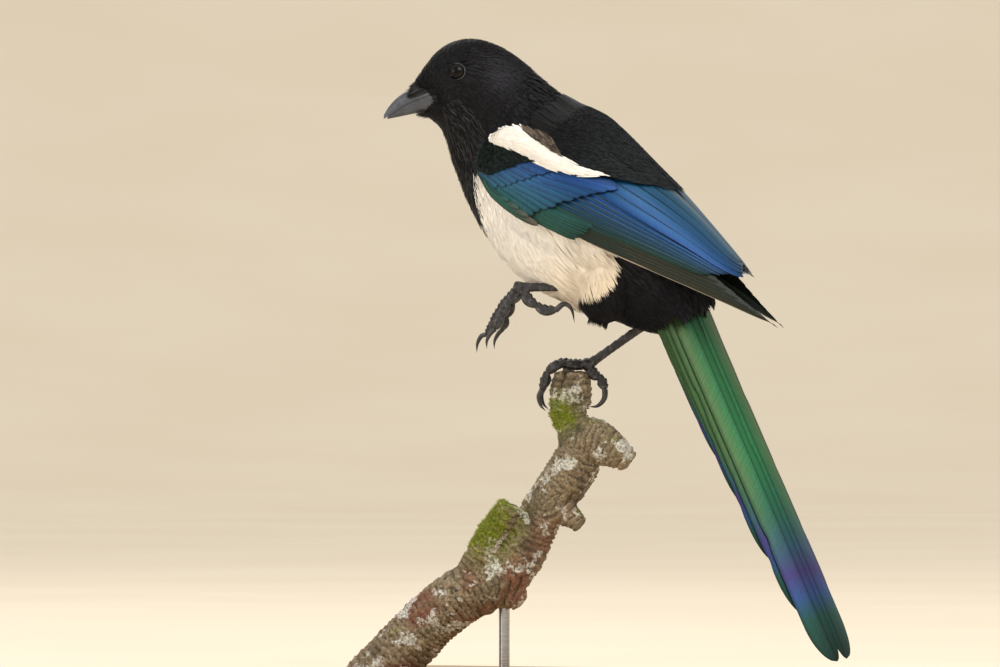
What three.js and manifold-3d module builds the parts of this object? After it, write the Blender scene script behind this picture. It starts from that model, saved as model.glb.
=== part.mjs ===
// A life-size Eurasian magpie standing on one foot on a cut branch, held by a plain display stand.
// Millimetres, +Z up, the bird faces -X and its left side faces -Y. The origin is the middle of the base's underside.
import * as THREE from "three";
import { mergeVertices } from "three/addons/utils/BufferGeometryUtils.js";
import Module from "manifold-3d";

const wasm = await Module();
wasm.setup();

// Driving dimensions
const GAP = 0.3; // clearance between pieces that touch
const HEAD_TURN = THREE.MathUtils.degToRad(22); // the head looks to the bird's left
const NECK_PIVOT_X = -41.9; // vertical axis about which head and neck turn
const SLIVER = 0.01; // edges shorter than this are closed up
const VANE_THICK = 0.5; // edge thickness of every feather
const LAYER = 0.84; // height from one feather to the next above it
const SHAFT_THICK = 0.9; // thickness of a large feather along its shaft
const TAIL_ROLL = THREE.MathUtils.degToRad(30); // the closed tail leans towards the bird's left
const BASE = { length: 320, width: 140, thick: 14, corner: 22, bevel: 1.5 };
const ROD = { radius: 3, x: -59, y: 4 };

// Body plumage: back point, belly point, half width and share of the head turn, from bill base to tail root
const BODY = [
  { back: [-105.0, 344.4], belly: [-101.6, 325.6], half: 5.6, turn: 1 },
  { back: [-99.6, 352.0], belly: [-97.8, 321.6], half: 10.2, turn: 1 },
  { back: [-93.2, 359.2], belly: [-92.2, 316.6], half: 14.2, turn: 1 },
  { back: [-84.2, 364.4], belly: [-88.8, 310.2], half: 16.6, turn: 1 },
  { back: [-72.4, 365.8], belly: [-86.6, 303.3], half: 17.8, turn: 1 },
  { back: [-58.8, 361.8], belly: [-84.8, 296.6], half: 18.4, turn: 0.9 },
  { back: [-46.2, 353.6], belly: [-82.0, 289.2], half: 19.6, turn: 0.72 },
  { back: [-34.6, 343.6], belly: [-79.4, 281.4], half: 21.9, turn: 0.5 },
  { back: [-21.2, 333.4], belly: [-76.4, 273.7], half: 25.6, turn: 0.28 },
  { back: [-5.3, 325.0], belly: [-71.8, 264.8], half: 30.0, turn: 0.1 },
  { back: [10.4, 317.0], belly: [-66.1, 254.8], half: 33.6, turn: 0 },
  { back: [23.0, 306.5], belly: [-58.9, 244.8], half: 35.8, turn: 0 },
  { back: [32.5, 293.0], belly: [-49.3, 234.8], half: 36.0, turn: 0 },
  { back: [39.8, 277.6], belly: [-35.0, 225.0], half: 34.2, turn: 0 },
  { back: [47.2, 262.0], belly: [-14.6, 216.6], half: 31.0, turn: 0 },
  { back: [53.6, 247.0], belly: [6.6, 209.4], half: 26.0, turn: 0 },
  { back: [58.6, 233.0], belly: [26.0, 203.6], half: 20.6, turn: 0 },
  { back: [61.6, 219.5], belly: [40.0, 200.6], half: 16.4, turn: 0 },
  { back: [61.2, 207.0], belly: [50.2, 195.6], half: 13.6, turn: 0 },
];
const CUT_HEAD = 5.4; // station of the thin cut between head and neck
const CUT_NECK = 8.6; // station of the thin cut between neck and torso

// Wing: a curved sheet over the flank. u runs from wrist to wing tip, s across it from the lower edge to the back
const WRIST = new THREE.Vector2(-57.6, 295.3);
const WING_AXIS = new THREE.Vector2(0.8787, -0.4773);
const WING_U = [0, 20, 48, 76, 104, 133, 161, 190];
const WING_HALF_WIDTH = [33, 38.5, 42, 42, 37, 28.5, 18.5, 9.5];
const WING_TO_BACK = [58, 56, 51, 43.4, 34.8, 25.2, 15.4, 5];
const TUCK = 60; // how fast the sheet curls in below its lower edge
const WING_BED = 6.9; // depth of the trunk below the wing's sheet

const vec = (x, y, z) => new THREE.Vector3(x, y, z);
const mix = (a, b, t) => a + (b - a) * t;

// Smooth curve through a table of values at the places xs
function through(xs, values) {
  const slope = values.map((v, i) => {
    const a = Math.max(0, i - 1);
    const b = Math.min(values.length - 1, i + 1);
    return (values[b] - values[a]) / (xs[b] - xs[a]);
  });
  return (x) => {
    let i = 0;
    while (i < xs.length - 2 && x > xs[i + 1]) i++;
    const h = xs[i + 1] - xs[i];
    const t = THREE.MathUtils.clamp((x - xs[i]) / h, 0, 1);
    const t2 = t * t;
    const t3 = t2 * t;
    return (2 * t3 - 3 * t2 + 1) * values[i] + (t3 - 2 * t2 + t) * h * slope[i]
      + (3 * t2 - 2 * t3) * values[i + 1] + (t3 - t2) * h * slope[i + 1];
  };
}

// A closed solid from its points and triangles
function solid(points, faces) {
  const geometry = new THREE.BufferGeometry().setFromPoints(points);
  geometry.setIndex(faces.flat());
  const merged = mergeVertices(geometry, 1e-4);
  const made = new wasm.Manifold(new wasm.Mesh({
    numProp: 3,
    vertProperties: merged.attributes.position.array,
    triVerts: new Uint32Array(merged.index.array),
  }));
  return made.volume() < 0 ? solid(points, faces.map(([a, b, c]) => [a, c, b])) : made;
}

// A skin over rings of points with a flat cap on each end. mirrorFrom turns the diagonals of the ring's
// second half round, so that the two faces of a thin piece are split alike
function loft(rings, mirrorFrom = Infinity) {
  const n = rings[0].length;
  const faces = [];
  rings.slice(1).forEach((_, i) => {
    for (let k = 0; k < n; k++) {
      const a = i * n + k;
      const b = i * n + ((k + 1) % n);
      const c = b + n;
      const d = a + n;
      faces.push(...(k >= mirrorFrom ? [[a, b, d], [b, c, d]] : [[a, b, c], [a, c, d]]));
    }
  });
  const last = (rings.length - 1) * n;
  if (mirrorFrom === Infinity) {
    for (let k = 1; k < n - 1; k++) faces.push([0, k + 1, k], [last, last + k, last + k + 1]);
  } else {
    for (let k = 0; k < n / 2 - 1; k++) {
      const m = n - 1 - k;
      for (const [o, turn] of [[0, true], [last, false]]) {
        const quad = [[o + k, o + k + 1, o + m - 1], [o + k, o + m - 1, o + m]];
        faces.push(...quad.map(([p, q, r]) => (turn ? [p, r, q] : [p, q, r])));
      }
    }
  }
  return solid(rings.flat(), faces);
}

// A round tube along a curve, its radius a function of the share t of its length; up sets the ring's first point
function tube(points, radius, sides, steps, { flat = () => 1, up = vec(0, 0, 1), grow = 0 } = {}) {
  const curve = new THREE.CatmullRomCurve3(points);
  const rings = [];
  for (let i = 0; i <= steps; i++) {
    const t = i / steps;
    const centre = curve.getPoint(t);
    const along = curve.getTangent(t);
    if (i === 0) centre.addScaledVector(along, -grow);
    if (i === steps) centre.addScaledVector(along, grow);
    const side = vec(0, 0, 0).crossVectors(along, up).normalize();
    const top = vec(0, 0, 0).crossVectors(side, along).normalize();
    rings.push(Array.from({ length: sides }, (_, k) => {
      const angle = (2 * Math.PI * k) / sides;
      const r = radius(t, Math.cos(angle)) + grow;
      return centre.clone().addScaledVector(top, r * Math.cos(angle))
        .addScaledVector(side, r * flat(t) * Math.sin(angle));
    }));
  }
  return loft(rings);
}

function ball(centre, radii, around = 16, along = 10) {
  const geometry = new THREE.SphereGeometry(1, around, along);
  geometry.deleteAttribute("normal");
  geometry.deleteAttribute("uv");
  geometry.scale(...radii);
  geometry.translate(...centre.toArray());
  const merged = mergeVertices(geometry, 1e-3);
  return new wasm.Manifold(new wasm.Mesh({
    numProp: 3,
    vertProperties: merged.attributes.position.array,
    triVerts: new Uint32Array(merged.index.array),
  }));
}

const join = (pieces) => wasm.Manifold.union(pieces);

// The largest closed surface of a solid, without sealed hollows and slivers
function whole(made) {
  const [largest] = made.simplify(SLIVER).decompose().sort((a, b) => b.volume() - a.volume());
  return largest.simplify(SLIVER);
}

const parts = new THREE.Group();
function node(name, made, colour, roughness = 0.6, metalness = 0) {
  const mesh = whole(made).getMesh();
  const points = new Float32Array(mesh.numVert * 3);
  for (let i = 0; i < mesh.numVert; i++) {
    points.set(mesh.vertProperties.subarray(i * mesh.numProp, i * mesh.numProp + 3), i * 3);
  }
  const geometry = new THREE.BufferGeometry().setAttribute("position", new THREE.BufferAttribute(points, 3));
  geometry.setIndex(new THREE.BufferAttribute(mesh.triVerts, 1));
  geometry.computeVertexNormals();
  const made3 = new THREE.Mesh(geometry, new THREE.MeshStandardMaterial({ color: colour, roughness, metalness }));
  made3.name = name;
  parts.add(made3);
}

const COLOUR = {
  black: 0x141417, white: 0xf4f0e6, cream: 0xeee3cc, blue: 0x1f5a94, green: 0x23573c,
  bill: 0x3b3d42, leg: 0x2c2b2c, claw: 0x35363a, eye: 0x120d0b, bark: 0x8d8066, oak: 0xcdb693, steel: 0x9a9c9f,
};

// Body
const wingHalf = through(WING_U, WING_HALF_WIDTH);
const wingBack = through(WING_U, WING_TO_BACK);
const bodyRows = ["backX", "backZ", "bellyX", "bellyZ", "half", "turn"];
const stationNumbers = BODY.map((_, i) => i);
const bodyValue = Object.fromEntries(bodyRows.map((row) => [row, through(stationNumbers, BODY.map((s) => ({
  backX: s.back[0], backZ: s.back[1], bellyX: s.belly[0], bellyZ: s.belly[1], half: s.half, turn: s.turn,
})[row]))]));

// Turns a point of the straight bird with the head and neck
function turned(point, share) {
  const angle = HEAD_TURN * share;
  const x = point.x - NECK_PIVOT_X;
  return vec(NECK_PIVOT_X + x * Math.cos(angle) - point.y * Math.sin(angle),
    x * Math.sin(angle) + point.y * Math.cos(angle), point.z);
}

// Draws a point of the trunk in where the folded wing lies over it
function tuckUnderWing(point) {
  const dx = point.x - WRIST.x;
  const dz = point.z - WRIST.y;
  const u = dx * WING_AXIS.x + dz * WING_AXIS.y;
  const q = dz * WING_AXIS.x - dx * WING_AXIS.y;
  const half = wingHalf(u);
  const back = wingBack(u);
  const onset = THREE.MathUtils.smoothstep(u, -8, 8);
  if (q < 0) {
    const most = half * (1 - (q / TUCK) ** 2) - WING_BED * onset * THREE.MathUtils.smoothstep(q, -30, -19);
    return vec(point.x, THREE.MathUtils.clamp(point.y, -most, most), point.z);
  }
  const radius = (half + back) / 2;
  const ratio = Math.hypot(q / back, point.y / half);
  const s = Math.atan2(q / back, Math.abs(point.y) / half) * radius;
  const shown = THREE.MathUtils.smoothstep(s, 36, 48) * (1 - THREE.MathUtils.smoothstep(u, 66, 92));
  const most = 1 - (WING_BED * onset * (1 - shown)) / radius;
  const k = Math.min(1, most / ratio);
  return vec(WRIST.x + WING_AXIS.x * u - WING_AXIS.y * q * k, point.y * k, WRIST.y + WING_AXIS.y * u + WING_AXIS.x * q * k);
}

// A point of the plumage: station 0 to 18, angle 0 at the back and a half turn at the belly, to the bird's left first
function bodyPoint(station, angle, grow = 0) {
  const back = vec(bodyValue.backX(station), 0, bodyValue.backZ(station));
  const belly = vec(bodyValue.bellyX(station), 0, bodyValue.bellyZ(station));
  const up = back.clone().sub(belly);
  const depth = up.length() / 2;
  up.normalize();
  const centre = back.add(belly).multiplyScalar(0.5);
  const point = centre.clone().addScaledVector(up, depth * Math.cos(angle));
  point.y = -bodyValue.half(station) * Math.sin(angle);
  const tucked = tuckUnderWing(point);
  const out = tucked.clone().sub(centre).normalize();
  return turned(tucked.addScaledVector(out, grow), bodyValue.turn(station));
}

function bodySolid(grow = 0, around = 20, along = 33) {
  const last = BODY.length - 1;
  const rings = [];
  for (let i = 0; i <= along; i++) {
    const station = (last * i) / along;
    rings.push(Array.from({ length: around }, (_, k) => bodyPoint(station, (2 * Math.PI * k) / around, grow)));
  }
  const { normal } = stationPlane(last);
  rings[along].forEach((point) => point.addScaledVector(normal, 2 * grow));
  return loft(rings);
}

// The plane of a station, as its normal towards the tail and its distance from the origin
function stationPlane(station) {
  const back = bodyPoint(station, 0);
  const belly = bodyPoint(station, Math.PI);
  const side = bodyPoint(station, Math.PI / 2).sub(bodyPoint(station, 1.5 * Math.PI));
  const normal = vec(0, 0, 0).crossVectors(side, back.clone().sub(belly)).normalize();
  if (normal.dot(back.clone().sub(bodyPoint(station - 1, 0))) < 0) normal.negate();
  return { normal, distance: normal.dot(back.add(belly).multiplyScalar(0.5)) };
}
const behind = (made, { normal, distance }) => made.trimByPlane(normal.toArray(), distance + GAP / 2);
const before = (made, { normal, distance }) => made.trimByPlane(normal.clone().negate().toArray(), -distance + GAP / 2);

// Head frame: a place forward of the neck pivot, to the bird's left and up, turned with the head
const headPoint = (x, left, z) => turned(vec(x, -left, z), 1);

// Bill: each half is a run of stations from inside the face to the tip
const UPPER_BILL = [
  // x, top z, lower edge z, half width
  [-92.0, 341.6, 331.0, 5.6],
  [-101.0, 340.9, 330.9, 5.2],
  [-106.0, 339.4, 329.9, 4.9],
  [-111.5, 336.5, 328.0, 4.0],
  [-116.5, 332.5, 325.8, 2.9],
  [-120.4, 327.9, 323.6, 1.7],
  [-122.8, 323.6, 321.8, 0.6],
];
const LOWER_BILL = [
  [-92.0, 330.4, 322.4, 5.0],
  [-101.0, 330.3, 323.0, 4.6],
  [-106.0, 329.3, 322.6, 4.2],
  [-111.5, 327.4, 321.9, 3.4],
  [-116.5, 325.2, 321.5, 2.4],
  [-119.6, 323.5, 321.3, 1.4],
  [-121.4, 322.3, 321.2, 0.5],
];
// A run of stations, the first and last moved out by grow; each ring starts at the ridge
function billLoft(stations, roof, grow = 0) {
  const numbers = stations.map((_, i) => i);
  const value = [0, 1, 2, 3].map((column) => through(numbers, stations.map((row) => row[column])));
  const steps = 10;
  const rings = [];
  for (let i = 0; i <= steps; i++) {
    const [x, top, low, half] = value.map((f) => f((i / steps) * (stations.length - 1)));
    const a = roof ? top + grow : low - grow;
    const b = roof ? low - grow : top + grow;
    const inward = i === 0 ? grow : 0;
    rings.push([[0, a], [0.62, mix(a, b, 0.22)], [1, mix(a, b, 0.7)], [0.96, b], [-0.96, b], [-1, mix(a, b, 0.7)],
      [-0.62, mix(a, b, 0.22)]].map(([share, z]) => headPoint(x + inward, (half + grow) * share, z)));
  }
  return loft(rings);
}

// The room both halves of the bill take in the face
function billSocket() {
  const rings = UPPER_BILL.map(([x, top, , half], i) => {
    const low = LOWER_BILL[i][2] - GAP;
    const wide = half + 1.6 * GAP;
    const inward = i === 0 ? GAP : 0;
    return [[0, top + 1.4 * GAP], [0.72, mix(top, low, 0.1)], [1, mix(top, low, 0.4)], [1, mix(top, low, 0.62)],
      [0.72, mix(top, low, 0.92)], [0, low - 0.4 * GAP], [-0.72, mix(top, low, 0.92)], [-1, mix(top, low, 0.62)],
      [-1, mix(top, low, 0.4)], [-0.72, mix(top, low, 0.1)]]
      .map(([share, z]) => headPoint(x + inward, wide * share, z));
  });
  return loft(rings);
}

// Bristly feathers that lie forward over the nostrils, on each side of the ridge
const BRISTLES = [
  // root and tip: forward, left, up
  [[-97, 2.6, 344.6], [-111, 2.4, 339.4]],
  [[-97.6, 5.0, 341.4], [-110, 5.0, 335.6]],
  [[-97.6, 5.8, 337.4], [-107.6, 6.2, 332.4]],
];
function bristles(side) {
  return BRISTLES.map(([root, tip]) => {
    const from = headPoint(root[0], side * root[1], root[2]);
    const to = headPoint(tip[0], side * tip[1], tip[2]);
    const middle = headPoint(root[0], 0, root[2] - 8);
    const face = from.clone().sub(middle).normalize();
    const across = vec(0, 0, 0).crossVectors(face, to.clone().sub(from)).normalize();
    return vane(3, (t) => [-1, 0, 1].map((w) => ({
      at: from.clone().lerp(to, t).addScaledVector(across, w * 1.7 * vaneWidth(t, 0.5)).addScaledVector(face, 1.3 + 2 * t * (1 - t)),
      face,
    })), { flatVane: true });
  });
}

// Eye and lid
const EYE = { x: -82.3, z: 346.9, left: 12.6, radius: 5.0, lid: 0.85 };
const eyeCentre = (side) => headPoint(EYE.x, side * EYE.left, EYE.z);
function eyeBall(side, grow = 0) {
  return ball(eyeCentre(side), Array(3).fill(EYE.radius + grow), 12, 8);
}
function lidRing(side) {
  const out = headPoint(EYE.x - 3, side * 24, EYE.z + 2).sub(eyeCentre(side)).normalize();
  const across = vec(0, 0, 0).crossVectors(out, vec(0, 0, 1)).normalize();
  const up = vec(0, 0, 0).crossVectors(out, across);
  const ring = new THREE.TorusGeometry(EYE.radius - 0.2, EYE.lid, 6, 16);
  ring.deleteAttribute("normal");
  ring.deleteAttribute("uv");
  ring.applyMatrix4(new THREE.Matrix4().makeBasis(across, up, out));
  const middle = eyeCentre(side).addScaledVector(out, 2.85);
  ring.translate(middle.x, middle.y, middle.z);
  const merged = mergeVertices(ring, 1e-3);
  return new wasm.Manifold(new wasm.Mesh({
    numProp: 3,
    vertProperties: merged.attributes.position.array,
    triVerts: new Uint32Array(merged.index.array),
  }));
}

// A feather: points left, middle and right of its shaft at each step, each with the direction of its upper face
function vane(steps, place, { flatVane = false, shaft = SHAFT_THICK, crowd = 1.25 } = {}) {
  const rings = [];
  for (let i = 0; i <= steps; i++) {
    const row = place(1 - (1 - i / steps) ** crowd);
    const pick = flatVane ? [row[0], row[2]] : row;
    const thick = flatVane ? [VANE_THICK, VANE_THICK] : [VANE_THICK, shaft, VANE_THICK];
    const upper = pick.map(({ at }) => at.clone());
    const lower = pick.map(({ at, face }, k) => at.clone().addScaledVector(face, -thick[k]));
    rings.push([...upper, ...lower.reverse()]);
  }
  return loft(rings, flatVane ? 2 : 3);
}

// Share of the full width along a feather: narrow at the quill, full in the middle, a rounded tip
function vaneWidth(t, tip = 0.16, root = 0.35) {
  const start = THREE.MathUtils.smoothstep(t, -0.05, root);
  const end = t > 1 - tip ? Math.sqrt(Math.max(0, 1 - ((t - 1 + tip) / tip) ** 2)) : 1;
  return Math.max(0.04, mix(0.45, 1, start) * end);
}

// Wing sheet
function wingSheet(u, s) {
  const half = wingHalf(u);
  const back = wingBack(u);
  const angle = Math.max(0, s) / ((half + back) / 2);
  const across = s < 0 ? s : back * Math.sin(angle);
  const out = s < 0 ? half * (1 - (s / TUCK) ** 2) : half * Math.cos(angle);
  return vec(WRIST.x + WING_AXIS.x * u - WING_AXIS.y * across, -out, WRIST.y + WING_AXIS.y * u + WING_AXIS.x * across);
}
// A point h outside the left wing's sheet, and its outward direction
function onWing(u, s, h) {
  const at = wingSheet(u, s);
  const along = wingSheet(u + 0.5, s).sub(wingSheet(u - 0.5, s));
  const over = wingSheet(u, s + 0.5).sub(wingSheet(u, s - 0.5));
  const face = vec(0, 0, 0).crossVectors(along, over).normalize();
  return { at: at.addScaledVector(face, h), face };
}

// A wing feather from root to tip in wing places [u, s], with its widths below and above the shaft.
// Its lower edge is at height h, it slopes in under the next feather above it, and its root dips into the wing
function wingFeather({ root, tip, bow = 0, below, above, h, dip = 0, slope = 0.25, steps = 5, tipShare = 0.16, flatVane = true }) {
  const direction = new THREE.Vector2(tip[0] - root[0], tip[1] - root[1]);
  direction.normalize();
  return vane(steps, (t) => {
    const wide = vaneWidth(t, tipShare);
    const sag = bow * 4 * t * (1 - t);
    const u = mix(root[0], tip[0], t) - direction.y * sag;
    const s = mix(root[1], tip[1], t) + direction.x * sag;
    const lift = h - dip * (1 - THREE.MathUtils.smoothstep(t, 0, 0.35));
    return [-below, 0, above].map((w) => {
      const q = w * wide;
      return onWing(u - direction.y * q, s + direction.x * q, lift - slope * (q + below * wide));
    });
  }, { flatVane });
}

// A closed patch of the wing sheet between two heights
function wingPatch(us, low, high, inner, outer, cols = 8) {
  const rings = us.map((u, i) => {
    const end = Math.sin((Math.PI * (i + 0.35)) / (us.length - 0.3)) ** 0.5;
    const s0 = low(u);
    const s1 = high(u);
    const middle = (s0 + s1) / 2;
    const top = [];
    const bottom = [];
    for (let k = 0; k <= cols; k++) {
      const c = Math.cos(Math.PI * (1 - k / cols));
      const s = middle + ((s1 - s0) / 2) * c * Math.max(0.35, end);
      const round = Math.sqrt(Math.max(0, 1 - c * c)) * 0.85 + 0.15;
      const mid = (inner(u) + outer(u)) / 2;
      const halfThick = ((outer(u) - inner(u)) / 2) * round * Math.max(0.4, end);
      top.push(onWing(u, s, mid + halfThick).at);
      bottom.push(onWing(u, s, mid - halfThick).at);
    }
    return [...top, ...bottom.reverse()];
  });
  return loft(rings, cols + 1);
}

// The wing's own body, hidden under the coverts, and the shoulder of small feathers over its front
function wingCore() {
  const us = [-3, 6, 18, 34, 50, 64];
  const core = wingPatch(us, through(us, [-3, -8, -13, -14.5, -14, -10]), through(us, [9, 14, 19, 25, 30, 33]),
    () => -5.9, () => -0.6, 6);
  const front = [-4, 2, 10, 20, 33];
  const shoulder = wingPatch(front, through(front, [-4, -8, -6, 1, 9]), through(front, [9, 13, 15, 16.5, 17]),
    () => -2.6, () => 1.7, 6);
  return join([core, shoulder]);
}

const PRIMARY_TIPS = [[189, 1.8], [183, 3.4], [174, 4.8], [163, 6.2], [151, 7.6]];
const GREATER_COVERTS = [
  // root, tip
  [[10, -3], [47.3, -4.8]],
  [[13, 1], [53, 1.6]],
  [[19, 5], [59, 7.6]],
  [[25, 9], [65, 13.4]],
  [[32, 14], [71, 19.6]],
  [[38, 19], [75, 26]],
];

// Left wing: primaries lowest, then secondaries and the broad inner feathers, with the coverts over their bases
function wingFeathers() {
  const primaries = PRIMARY_TIPS.map((tip, i) => {
    const t = i / (PRIMARY_TIPS.length - 1);
    return wingFeather({
      root: [44, mix(-10, -2, t)], tip, bow: mix(1.4, 1.0, t), below: 2.6, above: 5.4,
      h: -1.9 - LAYER * (PRIMARY_TIPS.length - 1 - i), slope: 0.04, steps: 5, tipShare: 0.13,
    });
  });
  const secondaries = [0, 1, 2, 3, 4].map((i) => wingFeather({
    root: [46, mix(-1, 17, i / 4)], tip: [mix(143, 153, i / 4), mix(9.6, 17.6, i / 4)], bow: mix(0.6, 2.4, i / 4),
    below: 1.6, above: 3.6, h: -1.0, slope: 0.42, steps: 4, tipShare: 0.09,
  }));
  const inner = [0, 1, 2].map((i) => wingFeather({
    root: [42, mix(23, 30, i / 2)], tip: [mix(157, 138, i / 2), mix(21, 30, i / 2)], bow: mix(3.5, 8.0, i / 2),
    below: 5.6, above: 6.6, h: mix(0.2, 0.6, i / 2), dip: 3.4, slope: 0.16, steps: 5, flatVane: false,
  }));
  const greater = GREATER_COVERTS.map(([root, tip]) => wingFeather({
    root, tip, bow: -1.0, below: 3.6, above: 5.0, h: 1.6, dip: 3.8, slope: 0.17, steps: 4, tipShare: 0.24,
  }));
  const primaryCoverts = [0, 1, 2, 3].map((i) => wingFeather({
    root: [36, mix(-12.6, -6, i / 3)], tip: [mix(78, 82, i / 3), mix(-9.5, -1.6, i / 3)], below: 1.5, above: 3.2,
    h: 0.2, dip: 2.6, slope: 0.36, steps: 4, tipShare: 0.3,
  }));
  const alula = [0, 1].map((i) => wingFeather({
    root: [4, -5.6 + 2.6 * i], tip: [48 - 8 * i, -12 + 2.6 * i], bow: -3.8, below: 1.7, above: 3.0,
    h: 1.9, dip: 2.6, slope: 0.34, steps: 4, tipShare: 0.25,
  }));
  return [...primaries, ...secondaries, ...inner, ...greater, ...primaryCoverts, ...alula];
}

const mirrored = (made) => made.mirror([0, 1, 0]);
const torsoGrown = bodySolid(GAP);
const wing = () => join([wingCore(), ...wingFeathers()]).trimByPlane([0, -1, 0], GAP / 2);

// Scapulars: the white shoulder patch, a small cushion with overlapping feathers that point back
const SCAPULARS = [
  // root, tip, width below and above the shaft
  [[14, 21], [73, 31], 3.4, 3.0],
  [[12, 18], [64, 24.5], 4.2, 3.6],
  [[8, 21], [56, 28], 3.8, 3.4],
  [[6, 17], [47, 19], 4.2, 4.0],
];
function scapulars() {
  const us = [-3, 1, 8, 18, 28, 38];
  const cushion = wingPatch(us, through(us, [9.5, 10.5, 12, 13.6, 15, 17]), through(us, [19, 22, 26, 27, 27, 27]),
    () => 2.1, () => 5.8, 6);
  const feathers = SCAPULARS.map(([root, tip, below, above], i) => wingFeather({
    root, tip, bow: 0.6, below, above, h: 2.9 + LAYER * i, slope: 0.02, steps: 4, tipShare: 0.3,
  }));
  return join([cushion, ...feathers]);
}

// Mantle: black feathers over the upper back, in tiers, growing from the torso
function mantleFeathers() {
  const made = [];
  for (let tier = 0; tier < 2; tier++) {
    for (let j = 0; j < 3; j++) {
      const t = j / 2;
      const tip = [mix(81, 90, t) - 22 * tier, mix(36, 52, t)];
      made.push(wingFeather({
        root: [tip[0] - 34, mix(43, 54, t)], tip, below: 6, above: 6.4, h: 1.5 + LAYER * tier,
        dip: 7.5, slope: 0.1, steps: 4, tipShare: 0.34,
      }));
    }
  }
  return made;
}

// Tail: frame with its root inside the rump, its direction, its left side and its upper face
const TAIL_ROOT = vec(45.9, 0, 233.7);
const TAIL_DIR = vec(0.42, 0, -0.9076).normalize();
const TAIL_UP = vec(0.9076, 0, 0.42).normalize().applyAxisAngle(TAIL_DIR, TAIL_ROLL);
const TAIL_LEFT = vec(0, 0, 0).crossVectors(TAIL_UP, TAIL_DIR).normalize();
if (TAIL_LEFT.y > 0) TAIL_LEFT.negate();
const TAIL_ARCH = 40; // radius of the closed tail's roof
const TAIL_FEATHERS = [
  // length, shaft place across the roof, outer and inner web
  { length: 233, across: 4.0, outer: 10.6, inner: 5.2 },
  { length: 203, across: 9.6, outer: 8.4, inner: 7.4 },
  { length: 168, across: 14.2, outer: 6.4, inner: 7.4 },
  { length: 132, across: 17.2, outer: 4.8, inner: 7.4 },
  { length: 106, across: 19.2, outer: 4.0, inner: 7.4 },
  { length: 88, across: 20.4, outer: 3.4, inner: 7.4 },
];
const TAIL_LAYER = 1.25; // depth from one tail feather to the next below it
function onTail(along, across, h) {
  const angle = across / TAIL_ARCH;
  const face = TAIL_UP.clone().multiplyScalar(Math.cos(angle)).addScaledVector(TAIL_LEFT, Math.sin(angle));
  const at = TAIL_ROOT.clone().addScaledVector(TAIL_DIR, along).addScaledVector(TAIL_UP, -TAIL_ARCH)
    .addScaledVector(face, TAIL_ARCH + h);
  return { at, face };
}
const TAIL_START = 27; // where the quills leave the tail's root
function tailFeather({ length, across, outer, inner }, order, side) {
  return vane(order < 2 ? 7 : 5, (t) => {
    const along = mix(TAIL_START, length, t);
    const open = mix(0.34, 1, THREE.MathUtils.smoothstep(t, 0, 0.3));
    const depth = (TAIL_LAYER * order + (side < 0 ? 0.9 : 0)) * mix(0.7, 1, THREE.MathUtils.smoothstep(t, 0.04, 0.2));
    const wide = vaneWidth(t, Math.min(0.3, 24 / (length - TAIL_START)), 0.25);
    return [-inner * wide, 0, outer * wide].map((w) => onTail(along, side * (across * open + w), -depth));
  }, { flatVane: order > 1, crowd: 1.5 });
}
function tailCore(grow = 0) {
  const rings = [14, 20, 30, 40, 46].map((along, i, all) => {
    const end = i === 0 ? -grow : i === all.length - 1 ? grow : 0;
    const half = [5, 10, 13, 13, 11][i] + grow;
    const deep = [2.4, 4.6, 5.2, 4.8, 4.2][i] + grow;
    return Array.from({ length: 14 }, (_, k) => {
      const angle = (2 * Math.PI * k) / 14;
      return onTail(along + end, half * Math.sin(angle), -3.9 + deep * Math.cos(angle)).at;
    });
  });
  return loft(rings);
}
function tail() {
  const feathers = TAIL_FEATHERS.flatMap((feather, i) => [tailFeather(feather, i, 1), tailFeather(feather, i, -1)]);
  return join([tailCore(), ...feathers]).subtract(torsoGrown.subtract(tailCore()));
}

// Legs. The left foot is lifted, the right foot grips the end of the branch
const LEFT_ANKLE = vec(7.3, -17, 227.5);
const LEFT_FOOT = vec(-38.6, -22, 227.2);
const RIGHT_ANKLE = vec(28.5, 11, 210.5);
const RIGHT_FOOT = vec(-9.4, 8, 184.6);

function thigh(top, ankle, radii, grow = 0) {
  const middle = top.clone().lerp(ankle, 0.5).add(vec(0, 0, 1));
  return tube([top, middle, ankle], (t) => through([0, 0.45, 0.85, 1], radii)(t), 12, 6, { up: vec(0, 1, 0), grow });
}
function rightThigh(grow = 0) {
  return thigh(vec(22, 15, 240), RIGHT_ANKLE.clone().add(vec(-1.2, 0, -1.2)), [9, 13, 7, 3.6], grow);
}
function leftThigh(grow = 0) {
  return thigh(vec(18, -20, 251), vec(6, -17.6, 209), [9, 15, 13, 5], grow);
}

// Loose flank and shank feathers: flat locks that hang from a thigh, each from root to tip
function locks(rows, width) {
  return rows.map(([root, tip]) => {
    const from = vec(...root);
    const to = vec(...tip);
    const along = to.clone().sub(from).normalize();
    const face = vec(0, Math.sign(from.y), 0);
    const side = vec(0, 0, 0).crossVectors(along, face).normalize();
    return vane(4, (t) => [-1, 0, 1].map((w) => ({
      at: from.clone().lerp(to, t).addScaledVector(side, w * width * vaneWidth(t, 0.5)).addScaledVector(face, 2 * t * (1 - t)),
      face,
    })), { flatVane: true });
  });
}
// A thigh with its locks, which stay clear of the trunk
const withLocks = (made, loose) => join([made, join(loose).subtract(torsoGrown.subtract(made))]);
const LEFT_LOCKS = [
  [[4, -27, 222], [-5, -27.6, 206.6]], [[9, -28, 222], [4, -28, 203.4]], [[14, -27, 222], [13, -26, 204.6]],
];

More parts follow.
